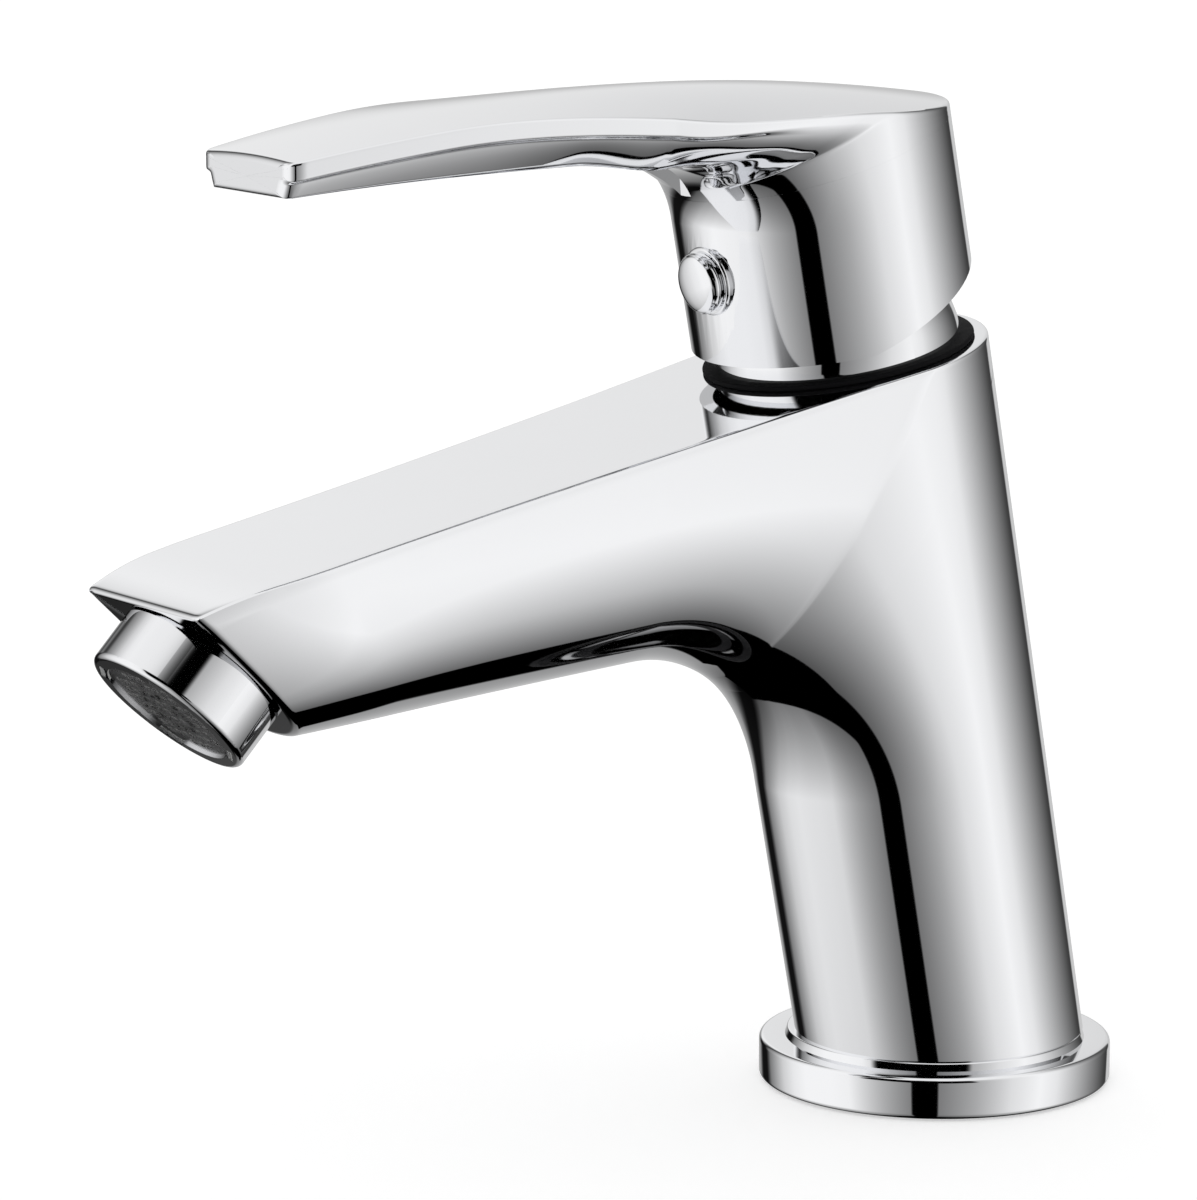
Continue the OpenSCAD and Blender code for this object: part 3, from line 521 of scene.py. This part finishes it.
def rod(name, d, h, place, n=96):
    """A cylinder from z = 0 to h about place's Z."""
    ang = np.arange(n) / n * 2 * math.pi
    ring = np.stack([d / 2 * np.cos(ang), d / 2 * np.sin(ang)], 1)
    rings = [np.concatenate([ring, np.full((n, 1), z)], 1) for z in (0, h)]
    return closed_skin(name, [place(r) for r in rings])


def turned(rx):
    """The turn by rx about X."""
    c, s = math.cos(rx), math.sin(rx)
    return np.array([[1, 0, 0], [0, c, -s], [0, s, c]])


def lean_at(w, v=0.0):
    """A place on the column's axis, w up it and v in front of it."""
    base, m = at(aw(w, v)), turned(LEAN)
    return lambda p: base + np.asarray(p) @ m.T


def out_at(h):
    """A place h outside the outlet's face, with Z outwards."""
    base, m = at(OUT_C + h * OUT_N), turned(math.pi - OUTLET_TILT)
    return lambda p: base + np.asarray(p) @ m.T


def upright(x, y, z):
    return lambda p: np.asarray(p) + np.array([x, y, z])


def between(p, q, x=0.0):
    """A place at p with Z towards q."""
    m = turned(math.atan2(q[1] - p[1], q[0] - p[0]) - math.pi / 2)
    return lambda pts: at(p, x) + np.asarray(pts) @ m.T


def screw_at(v):
    """A place on the set screw's axis, with Z to the front."""
    base, m = at(aw(SCREW_W, v)), turned(LEAN) @ turned(math.pi / 2)
    return lambda p: base + np.asarray(p) @ m.T


def box(name, size, place):
    """A box with one corner at the origin of place."""
    sx, sy, sz = size
    pts = [(x, y, z) for z in (0, sz) for x, y in ((0, 0), (sx, 0), (sx, sy), (0, sy))]
    return closed_skin(name, [place(np.array(pts[:4], float)), place(np.array(pts[4:], float))])


def prism(name, outline, h, place):
    """A block of height h over an outline that runs anticlockwise."""
    outline = np.asarray(outline, float)
    rings = [np.concatenate([outline, np.full((len(outline), 1), z)], 1) for z in (0, h)]
    n = len(outline)
    points = np.concatenate([place(r) for r in rings])
    faces = [tuple(range(n))[::-1], tuple(range(n, 2 * n))] + skin_faces(2, n)
    return new_object(name, points, faces)


def combine(target, tool, operation):
    mod = target.modifiers.new("cut", "BOOLEAN")
    mod.operation, mod.object, mod.solver = operation, tool, "EXACT"
    graph = bpy.context.evaluated_depsgraph_get()
    mesh = bpy.data.meshes.new_from_object(target.evaluated_get(graph))
    target.modifiers.clear()
    old, target.data = target.data, mesh
    bpy.data.meshes.remove(old)
    data = tool.data
    bpy.data.objects.remove(tool)
    bpy.data.meshes.remove(data)


def cut(target, tool):
    combine(target, tool, "DIFFERENCE")


def join(target, tool):
    combine(target, tool, "UNION")


def smooth_shading(obj, angle=32):
    mesh = obj.data
    mesh.polygons.foreach_set("use_smooth", np.ones(len(mesh.polygons), bool))
    mesh.set_sharp_from_angle(angle=math.radians(angle))


def keep_normals(obj, shell):
    """Gives the faces that lie on the uncut shell that shell's own smooth normals."""
    tree = BVHTree.FromPolygons([v.co for v in shell.data.vertices],
                                [tuple(p.vertices) for p in shell.data.polygons])
    normals = [v.normal.copy() for v in shell.data.vertices]
    coords = [v.co for v in shell.data.vertices]
    polys = [tuple(p.vertices) for p in shell.data.polygons]
    mesh = obj.data
    out = [Vector(c.vector) for c in mesh.corner_normals]
    done = {}
    for poly in mesh.polygons:
        for li in poly.loop_indices:
            vi = mesh.loops[li].vertex_index
            if vi not in done:
                co = mesh.vertices[vi].co
                _, _, index, dist = tree.find_nearest(co)
                if dist > ON_SHELL:
                    done[vi] = None
                else:
                    total, weight = Vector(), 0
                    for k in polys[index]:
                        w = 1 / ((coords[k] - co).length + 1e-9)
                        total, weight = total + normals[k] * w, weight + w
                    done[vi] = (total / weight).normalized()
            got = done[vi]
            if got is not None and got.dot(poly.normal) > SAME_WAY:
                out[li] = got
    mesh.normals_split_custom_set([tuple(n) for n in out])


# ---------------------------------------------------------------- pieces

CHAMBER_D, CHAMBER_W, NUT_BORE_D, NUT_H = 35.4, 76.0, 35.8, 8.0
FOOT_BORE_D, FOOT_BORE_W, INLET_BACK = 25.0, 48.0, 2.0
INLET_D, INLET_DEPTH, INLET_PITCH, SUPPLY_D = 9.0, 14.0, 14.4, 6.0
STUD_D, STUD_DEPTH, STUD_FRONT = 5.0, 14.0, 16.0
SPOUT_BORE_D, PORT_BORE_D, OUTLET_DEPTH = 18.0, 6.0, 8.0
NIPPLE_D, NIPPLE_H, NIPPLE_BORE_D = 22.0, 5.0, 15.0
BORE_START, BORE_END_IN, BORE_END_UP = 0.6, 9.5, 5.5
CART_BASE_H, PORT_V = 8.0, 3.0
SPINDLE_W, SPINDLE_TOP_W = 8.0, 141.0
SCREW_W, SCREW_D = 132.8, 5.0
BUTTON_RING_D, BUTTON_D, RING_DEPTH, BUTTON_DEPTH = 10.4, 8.0, 1.6, 3.2
CAVITY_H = 28.5
CHANNEL_END, CHANNEL_WIDE, CHANNEL_EDGE, CHANNEL_POINT, CHANNEL_BACK = 6.0, 6.0, 4.0, 1.2, 1.5
BOSS_W, BOSS_R, GRIP_V = 127.0, 7.5, 4.0
RIM_FILLET, SPOUT_FILLET, NOSE_FILLET, FILLET_FROM, FILLET_RUN = 0.5, 1.2, 0.8, 8.0, 30.0
LEVER_FILLET, TIP_FILLET, SLEEVE_WALL = 0.45, 0.9, 2.0
RING_D, RING_EDGE, LIP_EDGE, SEAL_R, SEAL_W, SEAL_H = 54.0, 0.8, 0.3, 23.5, 2.4, 1.6
GASKET_EDGE, GASKET_GAP = 0.4, 0.2
CAP_GAP, CAP_SHANK, CAP_FLARE, CAP_EDGE, CAP_EDGE_Z, CAP_RISE = 0.1, 3.6, 0.4, 0.7, 4.7, 0.75
NECK_D, SLIP_SHADE_R, SLIP_H, COLLAR_LIP = 26.0, 20.4, 0.8, 0.8


def make_body():
    """Column and spout as one fine shell, with its bores."""
    g0 = aim(PIVOT, PIVOT - UNDER_E)
    g1 = aim(PIVOT, LOW_START)
    rear = aim(PIVOT, aw(RIM_W, -RIM_D / 2))
    centre = aim(PIVOT, RIM_C)
    below = [aim(PIVOT, aw(RIM_W - q, -RIM_D / 2)) for q in graded(12, 0.08, 1.45, 16)[:0:-1]]
    downs = [g for g in np.linspace(g0, rear, 60)[:-3] if g < below[0] - 0.004]
    secs = [column_sec(v2(PIVOT[0], FOOT_Z), v2(1, 0), None, 2)]
    secs += [arch_sec(g) for g in downs + below]
    first = len(secs)
    n_rim, n_root, n_spout, n_end = 64, 36, 90, 7
    secs += [arch_sec(aim(PIVOT, aw(RIM_W, -RIM_D / 2 * math.cos(math.pi / 2 * i / n_rim))))
             for i in range(n_rim + 1)]
    secs += [arch_sec(centre + (g1 - centre) * i / n_root) for i in range(1, n_root + 1)]
    length = np.linalg.norm(LOW_END - LOW_START)
    ts = 1 - (NOSE_FILLET + graded(length - NOSE_FILLET, 0.3, 1.25, n_spout)[::-1]) / length
    secs += [spout_sec(t) for t in ts[1:]]
    phis = np.arange(1, n_end + 1) / n_end * math.pi / 2
    secs += [spout_sec(1 - NOSE_FILLET / length * (1 - math.sin(f))) for f in phis]
    rings = np.array([s.ring(BODY_KS, FLAT_US) for s in secs])

    def edge_info(row, p):
        s = secs[row]
        return W3, -(W3 if s.near else at(s.d))

    def radius(p):
        u = (RIM_C[0] - p[1] - FILLET_FROM) / FILLET_RUN
        return RIM_FILLET + (SPOUT_FILLET - RIM_FILLET) * smooth(u)

    rings = fillet(rings, first, len(BODY_KS) - 1, edge_info, radius)
    rings = round_end(rings, n_end, NOSE_FILLET, at(OUT_N))
    obj = closed_skin("body_casting", rings)
    shell = obj.copy()
    shell.data = obj.data.copy()
    join(obj, rod("t", SPIGOT_D, FOOT_Z - SPIGOT_Z + PAST, upright(0, 0, SPIGOT_Z), 128))
    join(obj, rod("t", NIPPLE_D, NIPPLE_H + PAST, out_at(-PAST)))
    cut(obj, rod("t", CHAMBER_D, RIM_W - CHAMBER_W + PAST, lean_at(CHAMBER_W), 128))
    cut(obj, rod("t", NUT_BORE_D, NUT_H + PAST, lean_at(RIM_W - NUT_H), 128))
    cut(obj, rod("t", FOOT_BORE_D, FOOT_BORE_W + FOOT_Z, lean_at(-FOOT_Z, -INLET_BACK), 128))
    inlet_w = FOOT_BORE_W + INLET_DEPTH
    for side in (-1, 1):
        x = side * INLET_PITCH / 2
        cut(obj, rod("t", INLET_D, INLET_DEPTH + PAST,
                     shifted(lean_at(FOOT_BORE_W - PAST, -INLET_BACK), x), 64))
        p, q = aw(inlet_w - PAST, -INLET_BACK), aw(CHAMBER_W + PAST, PORT_V)
        cut(obj, rod("t", SUPPLY_D, np.linalg.norm(q - p), between(p, q, x), 48))
    cut(obj, rod("t", STUD_D, SPIGOT_Z + STUD_DEPTH, upright(0, -STUD_FRONT, 0), 48))
    core_a = mix(PIVOT, TOP_START, BORE_START)
    core_b = OUT_C - BORE_END_IN * OUT_N + BORE_END_UP * OUT_T
    port = aw(CHAMBER_W + CART_BASE_H / 2, CHAMBER_D / 2 - 2 * PAST)
    cut(obj, rod("t", PORT_BORE_D, np.linalg.norm(core_a - port), between(port, core_a), 48))
    cut(obj, rod("t", SPOUT_BORE_D, np.linalg.norm(core_b - core_a), between(core_a, core_b), 64))
    cut(obj, rod("t", NIPPLE_BORE_D, OUTLET_DEPTH + NIPPLE_H + PAST, out_at(-OUTLET_DEPTH), 64))
    smooth_shading(obj)
    keep_normals(obj, shell)
    bpy.data.objects.remove(shell)
    return obj


def shifted(place, x):
    return lambda p: place(p) + x * X


def make_lever():
    """The lever as one fine shell, with its cavity, boss and holes."""
    secs = [lever_sec(aw(LEVER_W, LEVER_R + NECK_RUN), -UP_V, None, 1)]
    heel = aim(NECK_PIVOT, HEEL_TOP)
    below = [aim(NECK_PIVOT, HEEL_TOP - UP_W * q) for q in graded(8, 0.08, 1.45, 14)[:0:-1]]
    downs = [g for g in np.linspace(NECK_G0, heel, 40) if g < below[0] - 0.006]
    secs += [neck_sec(g) for g in downs + below]
    first = len(secs)
    n_rim, n_neck, n_blade, n_end = 64, 36, 120, 7
    secs += [neck_sec(crest_g(mix(BASE_Y, HEEL_TOP[0], math.cos(math.pi / 2 * i / n_rim))))
             for i in range(n_rim + 1)]
    g = crest_g(BASE_Y)
    secs += [neck_sec(g + (NECK_G1 - g) * i / n_neck) for i in range(1, n_neck + 1)]
    length = np.linalg.norm(TIP - BELLY_START)
    ts = 1 - (TIP_FILLET + graded(length - TIP_FILLET, 0.1, 1.16, n_blade)[::-1]) / length
    secs += [blade_sec(t) for t in ts[1:]]
    phis = np.arange(1, n_end + 1) / n_end * math.pi / 2
    secs += [blade_sec(1 - TIP_FILLET / length * (1 - math.sin(f))) for f in phis]
    rings = np.array([s.ring(LEVER_KS, FLAT_US) for s in secs])

    def edge_info(row, p):
        s = secs[row]
        slope = -(p[1] + LEVER_PEAK) / LEVER_TOP_R
        normal = np.array([2 * s.crown * p[0] / max(1, s.half) ** 2, -slope, 1])
        return normal / np.linalg.norm(normal), -(W3 if s.near else at(s.d))

    rings = fillet(rings, first, len(LEVER_KS) - 1, edge_info, lambda p: LEVER_FILLET)
    rings = round_end(rings, n_end, TIP_FILLET, -Y)
    obj = closed_skin("lever_casting", rings)
    shell = obj.copy()
    shell.data = obj.data.copy()
    cavity_w = LEVER_W + CAVITY_H
    cut(obj, rod("t", LEVER_D - 2 * LEVER_WALL, cavity_w - LEVER_W + PAST,
                 lean_at(LEVER_W - PAST), 128))
    tilt = turned(LEAN + LIFT)
    base = at(aw(LEVER_W, HEEL_V))
    cut(obj, box("t", (4 * LEVER_D, 2 * LEVER_D, LEVER_D),
                 lambda p: base + (p + np.array([-2 * LEVER_D, 0, -LEVER_D])) @ tilt.T))
    channel_y = -LEVER_TIP + CHANNEL_END
    channel_tilt = math.atan((top_z(ROOT_Y) - top_z(-LEVER_TIP)) / (ROOT_Y + LEVER_TIP))
    place = turned(channel_tilt)
    origin = np.array([0, ROOT_Y, top_z(ROOT_Y) - crown_at(ROOT_Y) - LEVER_WALL])
    near_end = NECK[0] - CHANNEL_BACK
    outline = [[-TIP_W / 2 + CHANNEL_EDGE, channel_y], [TIP_W / 2 - CHANNEL_EDGE, channel_y],
               [TIP_W / 2, ROOT_Y - CHANNEL_WIDE], [CHANNEL_POINT, near_end],
               [-CHANNEL_POINT, near_end], [-TIP_W / 2, ROOT_Y - CHANNEL_WIDE]]
    cut(obj, prism("t", outline, 2 * BLADE_H0,
                   lambda p: origin + (p + np.array([0, -ROOT_Y, -2 * BLADE_H0])) @ place.T))
    join(obj, rod("t", 2 * BOSS_R, cavity_w - BOSS_W + PAST, lean_at(BOSS_W)))
    join(obj, rod("t", SCREW_D + 2 * SLEEVE_WALL, LEVER_R - LEVER_WALL - GRIP_V,
                  screw_at(GRIP_V + PAST), 64))
    corner = np.array([-SPINDLE_W / 2, -SPINDLE_W / 2, 0])
    hole = lean_at(BOSS_W - PAST)
    cut(obj, box("t", (SPINDLE_W, SPINDLE_W, SPINDLE_TOP_W - BOSS_W + PAST),
                 lambda p: hole(p + corner)))
    cut(obj, rod("t", SCREW_D, LEVER_R, screw_at(GRIP_V - PAST), 64))
    cut(obj, rod("t", BUTTON_D, LEVER_R, screw_at(LEVER_R - BUTTON_DEPTH), 96))
    cut(obj, rod("t", BUTTON_RING_D, LEVER_R, screw_at(LEVER_R - RING_DEPTH), 96))
    smooth_shading(obj)
    keep_normals(obj, shell)
    bpy.data.objects.remove(shell)
    return obj


def arc(x, z, radius, start, stop, n=7):
    """Points of an arc in a turned profile, angles in degrees."""
    ang = np.radians(np.linspace(start, stop, n))
    return [(x + radius * math.cos(f), z + radius * math.sin(f)) for f in ang]


def make_flange():
    """The ring round the foot, with its collar and the groove of its seal."""
    outer, top = RING_D / 2, RING_H
    lip = COLUMN_D / 2 + COLLAR_LIP
    profile = [(SPIGOT_D / 2, 0), (SEAL_R - SEAL_W / 2, 0), (SEAL_R - SEAL_W / 2, SEAL_H),
               (SEAL_R + SEAL_W / 2, SEAL_H), (SEAL_R + SEAL_W / 2, 0)]
    profile += arc(outer - RING_EDGE, RING_EDGE, RING_EDGE, -90, 0)
    profile += arc(outer - RING_EDGE, top - RING_EDGE, RING_EDGE, 0, 90)
    profile += [(lip + LIP_EDGE, top)]
    profile += arc(lip - LIP_EDGE, FOOT_Z - LIP_EDGE, LIP_EDGE, 0, 90) + [(SPIGOT_D / 2, FOOT_Z)]
    return lathe("base_flange", profile, 192, upright(0, 0, 0))


def make_slip_ring_and_shade():
    """The dark slip ring on which the dome cover turns. It reaches out past the dome nearly to the
    rim, and there it is painted shade for the gap under the dome.
    """
    inner, edge = NECK_D / 2 + GASKET_GAP, GASKET_EDGE
    profile = [(inner, 0)] + arc(SLIP_SHADE_R - edge, edge, edge, -60, 90) + [(inner, SLIP_H)]
    return lathe("slip_ring_and_painted_shade", profile, 128, lean_at(RIM_W))


def make_button():
    """The domed plug over the set screw."""
    r = BUTTON_D / 2
    profile = [(0, 0), (r - CAP_GAP, 0), (r - CAP_GAP, CAP_SHANK)]
    profile += [(r + CAP_FLARE, CAP_SHANK + 2 * CAP_GAP)]
    profile += arc(r - CAP_GAP, CAP_EDGE_Z, CAP_EDGE, -20, 60, 6)
    edge_r, edge_z = profile[-1]
    profile += [(edge_r * math.cos(f), edge_z + CAP_RISE * math.sin(f))
                for f in np.linspace(0, math.pi / 2, 12)[1:-1]]
    profile += [(0, edge_z + CAP_RISE)]
    return lathe("button_dome", profile, 96, screw_at(LEVER_R - BUTTON_DEPTH))


# ---------------------------------------------------------------- materials


BUMP_DEPTH = 0.0002


def material(name, color, metallic=0.0, roughness=0.4, spread=0.0, scale=200.0, bump=0.0, tint=0.0):
    """A principled surface whose roughness and tone vary with a fine noise."""
    mat = bpy.data.materials.new(name)
    mat.use_nodes = True
    nodes, links = mat.node_tree.nodes, mat.node_tree.links
    bsdf = nodes["Principled BSDF"]
    bsdf.inputs["Metallic"].default_value = metallic
    noise = nodes.new("ShaderNodeTexNoise")
    noise.inputs["Scale"].default_value = scale
    noise.inputs["Detail"].default_value = 4
    coords = nodes.new("ShaderNodeTexCoord")
    links.new(coords.outputs["Object"], noise.inputs["Vector"])
    rough = nodes.new("ShaderNodeMapRange")
    rough.inputs["To Min"].default_value = max(0, roughness - spread)
    rough.inputs["To Max"].default_value = roughness + spread
    links.new(noise.outputs["Fac"], rough.inputs["Value"])
    links.new(rough.outputs["Result"], bsdf.inputs["Roughness"])
    ramp = nodes.new("ShaderNodeValToRGB")
    for stop, f in zip(ramp.color_ramp.elements, (1 - tint, 1)):
        stop.color = (*[c * f for c in color], 1)
    links.new(noise.outputs["Fac"], ramp.inputs["Fac"])
    links.new(ramp.outputs["Color"], bsdf.inputs["Base Color"])
    if bump:
        b = nodes.new("ShaderNodeBump")
        b.inputs["Strength"].default_value = bump
        b.inputs["Distance"].default_value = BUMP_DEPTH
        links.new(noise.outputs["Fac"], b.inputs["Height"])
        links.new(b.outputs["Normal"], bsdf.inputs["Normal"])
    return mat


CHROME = material("chrome", (0.90, 0.905, 0.92), 1.0, 0.035, 0.01, 60, 0, 0.015)
STEEL = material("stainless_steel", (0.62, 0.62, 0.63), 1.0, 0.28, 0.08, 900, 0.1, 0.1)
BRASS = material("brass", (0.72, 0.55, 0.26), 1.0, 0.3, 0.08, 500, 0.1, 0.1)
RUBBER = material("rubber", (0.02, 0.02, 0.022), 0.0, 0.6, 0.1, 800, 0.2, 0.2)
BLACK = material("black_plastic", (0.012, 0.012, 0.014), 0.0, 0.35, 0.06, 600, 0.05, 0.2)
# Blacker, duller and less shiny than the black plastic: this is the slip ring's own colour, and it
# is also painted shade for the gap under the dome cover.
SLIP_RING_SHADE_BLACK = material("slip_ring_painted_shade_black", (0.006, 0.006, 0.007), 0.0, 0.7, 0.1, 600, 0.05, 0.2)
SLIP_RING_SHADE_BLACK.node_tree.nodes["Principled BSDF"].inputs["Specular IOR Level"].default_value = 0.1
WHITE = material("white_plastic", (0.74, 0.74, 0.71), 0.0, 0.4, 0.06, 500, 0.05, 0.05)
CERAMIC = material("ceramic", (0.86, 0.85, 0.81), 0.0, 0.2, 0.05, 700, 0.03, 0.04)
BLUE = material("blue_plastic", (0.10, 0.20, 0.45), 0.0, 0.4, 0.06, 500, 0.05, 0.08)
RED = material("red_plastic", (0.50, 0.05, 0.04), 0.0, 0.4, 0.06, 500, 0.05, 0.08)
GREEN = material("green_plastic", (0.10, 0.35, 0.15), 0.0, 0.4, 0.06, 500, 0.05, 0.08)

NODE_LOOKS = {
    "body": CHROME, "base_ring": CHROME, "deck_seal": RUBBER, "cartridge_nut": BRASS,
    "slip_ring": BLACK, "dome_cover": CHROME, "cartridge_housing": WHITE, "cartridge_base": WHITE,
    "port_seals": RUBBER, "fixed_disc": CERAMIC, "moving_disc": CERAMIC, "disc_carrier": BLUE,
    "turret": BLACK, "stem_seal": RUBBER, "pivot_pin": STEEL, "spindle": STEEL,
    "limit_ring": RED, "lever": CHROME, "set_screw": STEEL, "button_ring": CHROME,
    "button": CHROME, "aerator_housing": CHROME, "aerator_washer": RUBBER,
    "flow_regulator": GREEN, "aerator_insert": WHITE, "aerator_screen": STEEL,
}


def dress(obj, mat):
    obj.data.materials.clear()
    obj.data.materials.append(mat)


for name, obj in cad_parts.items():
    dress(obj, NODE_LOOKS[name])

for make, node, body, mat, slot in (
        (make_body, "body", "body", CHROME, "chrome"),
        (make_lever, "lever", "lever", CHROME, "chrome"),
        (make_flange, "base_ring", "body", CHROME, "chrome"),
        (make_slip_ring_and_shade, "slip_ring", "body", SLIP_RING_SHADE_BLACK, "black_plastic"),
        (make_button, "button", "lever", CHROME, "chrome")):
    piece = make()
    dress(piece, mat)
    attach(piece, body)
    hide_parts(node)
    piece.visible_glossy = node != "base_ring"

# ---------------------------------------------------------------- studio


class Maths:
    """Builds maths nodes in a tree; arguments are numbers or sockets."""

    def __init__(s, tree):
        s.tree = tree

    def node(s, kind, **props):
        n = s.tree.nodes.new(kind)
        for k, v in props.items():
            setattr(n, k, v)
        return n

    def put(s, socket, value):
        if isinstance(value, bpy.types.NodeSocket):
            s.tree.links.new(value, socket)
        else:
            socket.default_value = value

    def op(s, operation, *args):
        n = s.node("ShaderNodeMath", operation=operation)
        for i, a in enumerate(args):
            s.put(n.inputs[i], a)
        return n.outputs[0]

    def dot(s, a, vector):
        n = s.node("ShaderNodeVectorMath", operation="DOT_PRODUCT")
        s.put(n.inputs[0], a)
        n.inputs[1].default_value = vector
        return n.outputs["Value"]

    def ramp(s, value, lo, hi, to_lo=0.0, to_hi=1.0, kind="SMOOTHSTEP"):
        n = s.node("ShaderNodeMapRange", interpolation_type=kind)
        names = "Value", "From Min", "From Max", "To Min", "To Max"
        for name, v in zip(names, (value, lo, hi, to_lo, to_hi)):
            s.put(n.inputs[name], v)
        return n.outputs["Result"]

    def mix(s, a, b, f):
        return s.op("ADD", a, s.op("MULTIPLY", s.op("SUBTRACT", b, a), f))


# Light seen by the chrome at the horizon: degrees to the right of the camera, level from 0 to 1.
# Two large soft boxes stand beside the camera with a dark gap between them and dark gaps behind.
ROUND_LIGHT = [
    (-180, 0.76), (-164, 0.58), (-156, 0.1), (-146, 0.1), (-139, 0.5), (-130, 0.66),
    (-120, 0.84), (-108, 0.95), (-96, 1.0), (-74, 1.0), (-60, 0.98), (-36, 0.7), (-18, 0.52),
    (-17, 0.0), (-1, 0.0), (0, 0.5), (24, 0.68), (48, 0.9), (70, 1.0), (84, 0.94),
    (120, 0.55), (146, 0.27), (151, 0.25), (154, 0.8), (180, 0.76)]
# Middle of each box, and how far down it reaches there, as the drop over the distance out.
LEFT_BOX, RIGHT_BOX, BOX_DROP = math.radians(-86), math.radians(62), 2.85
REAR_DROP_LEFT, REAR_DROP_RIGHT, BOX_FADE = 1.5, 1.08, (-0.02, 0.05)
REAR_FROM, RIGHT_REAR_FROM = (100, 112), (108, 118)
# The boxes are dimmer towards their lower ends.
DIM_RISE, DIM_LEVEL = (-70, -22), 0.48
# Dark strip just above the horizon, in front: its sides, its lower and its upper edge.
DARK_LEFT, DARK_RIGHT, DARK_LOW, DARK_HIGH = (-54, -46), (27, 20), (2, 6), (50, 42)
# Pale wall behind the part, brighter on the camera's left.
WALL_RISE, WALL_FROM, WALL_SIDE, WALL_LEVELS = (1, 12), (140, 165), (-0.25, 0.2), (0.97, 0.86)
CEILING_RISE, CEILING_LEVEL = (38, 60), 0.96
DISPLAY_GAMMA = 2.2
# Level that lights everything but the mirrors.
AMBIENT = 0.75
FLOOR_SIZE, FLOOR_Z, FLOOR_COLOR, FLOOR_ROUGHNESS, FLOOR_GLOW = 3000, -0.3, 0.9, 0.9, 0.4


def studio_level(m, direction):
    """How bright the studio is in a direction, from 0 to 1 as displayed."""
    a = CAMERA_AZIMUTH
    side = m.dot(direction, (math.cos(a), math.sin(a), 0))
    toward = m.dot(direction, (math.sin(a), -math.cos(a), 0))
    z = m.dot(direction, (0, 0, 1))
    phi = m.op("ARCTAN2", side, toward)
    rise = m.op("MULTIPLY", m.op("ARCSINE", z), 180 / math.pi)
    ramp = m.node("ShaderNodeValToRGB")
    stops = ramp.color_ramp.elements
    while len(stops) < len(ROUND_LIGHT):
        stops.new(0.5)
    for stop, (deg, level) in zip(stops, ROUND_LIGHT):
        stop.position = (deg + 180) / 360
        stop.color = (level, level, level, 1)
    m.put(ramp.inputs["Fac"], m.op("MULTIPLY_ADD", phi, 1 / (2 * math.pi), 0.5))
    dim = m.ramp(rise, *DIM_RISE, DIM_LEVEL, 1.0, "LINEAR")
    level = m.op("MULTIPLY", ramp.outputs["Color"], dim)
    out = m.op("SQRT", m.op("SUBTRACT", 1.0001, m.op("MULTIPLY", z, z)))
    drop = m.op("DIVIDE", m.op("MULTIPLY", z, -1), out)
    boxes = [m.op("COSINE", m.op("SUBTRACT", phi, c)) for c in (LEFT_BOX, RIGHT_BOX)]
    reach = m.op("MAXIMUM", *boxes)
    behind = m.op("ABSOLUTE", phi)
    rear = m.ramp(behind, *np.radians(REAR_FROM))
    rear_reach = m.ramp(phi, -1, 1, REAR_DROP_LEFT, REAR_DROP_RIGHT)
    limit = m.op("MAXIMUM", m.op("MULTIPLY", reach, BOX_DROP), m.op("MULTIPLY", rear, rear_reach))
    limit = m.mix(limit, REAR_DROP_RIGHT, m.ramp(phi, *np.radians(RIGHT_REAR_FROM)))
    lit = m.ramp(m.op("SUBTRACT", limit, drop), *BOX_FADE)
    level = m.op("MULTIPLY", level, lit)
    sides = [m.ramp(phi, *np.radians(edge)) for edge in (DARK_LEFT, DARK_RIGHT)]
    dark = m.op("MULTIPLY", *sides)
    band = m.op("MULTIPLY", m.ramp(rise, *DARK_LOW), m.ramp(rise, *DARK_HIGH))
    dark = m.op("MULTIPLY", dark, band)
    level = m.mix(level, 0.0, dark)
    wall = m.op("MULTIPLY", m.ramp(rise, *WALL_RISE), m.ramp(behind, *np.radians(WALL_FROM)))
    level = m.mix(level, m.ramp(side, *WALL_SIDE, *WALL_LEVELS, "LINEAR"), wall)
    return m.mix(level, CEILING_LEVEL, m.ramp(rise, *CEILING_RISE))


def studio():
    scene = bpy.context.scene
    scene.view_settings.view_transform = "Standard"
    world = bpy.data.worlds.new("studio")
    scene.world = world
    world.use_nodes = True
    tree = world.node_tree
    tree.nodes.clear()
    m = Maths(tree)
    out = m.node("ShaderNodeOutputWorld")
    back = m.node("ShaderNodeBackground")
    coords = m.node("ShaderNodeTexCoord")
    path = m.node("ShaderNodeLightPath")
    level = m.op("POWER", studio_level(m, coords.outputs["Generated"]), DISPLAY_GAMMA)
    seen = m.mix(AMBIENT, level, path.outputs["Is Glossy Ray"])
    seen = m.mix(seen, 1.0, path.outputs["Is Camera Ray"])
    back.inputs["Color"].default_value = (1, 1, 1, 1)
    m.put(back.inputs["Strength"], seen)
    m.put(out.inputs["Surface"], back.outputs[0])


def make_floor():
    """A pale floor that shows white to the camera and keeps the shadow."""
    corners = (-1, -1), (1, -1), (1, 1), (-1, 1)
    pts = [(x * FLOOR_SIZE, y * FLOOR_SIZE, FLOOR_Z) for x, y in corners]
    floor = new_object("floor", pts, [(0, 1, 2, 3)])
    mat = bpy.data.materials.new("floor")
    mat.use_nodes = True
    m = Maths(mat.node_tree)
    bsdf = mat.node_tree.nodes["Principled BSDF"]
    bsdf.inputs["Base Color"].default_value = (FLOOR_COLOR, FLOOR_COLOR, FLOOR_COLOR, 1)
    bsdf.inputs["Roughness"].default_value = FLOOR_ROUGHNESS
    bsdf.inputs["Specular IOR Level"].default_value = 0
    bsdf.inputs["Emission Color"].default_value = (1, 1, 1, 1)
    path = m.node("ShaderNodeLightPath")
    glow = m.op("MULTIPLY", path.outputs["Is Camera Ray"], FLOOR_GLOW)
    m.put(bsdf.inputs["Emission Strength"], glow)
    dress(floor, mat)
    floor.visible_glossy = False


studio()
make_floor()

bpy.context.view_layer.update()
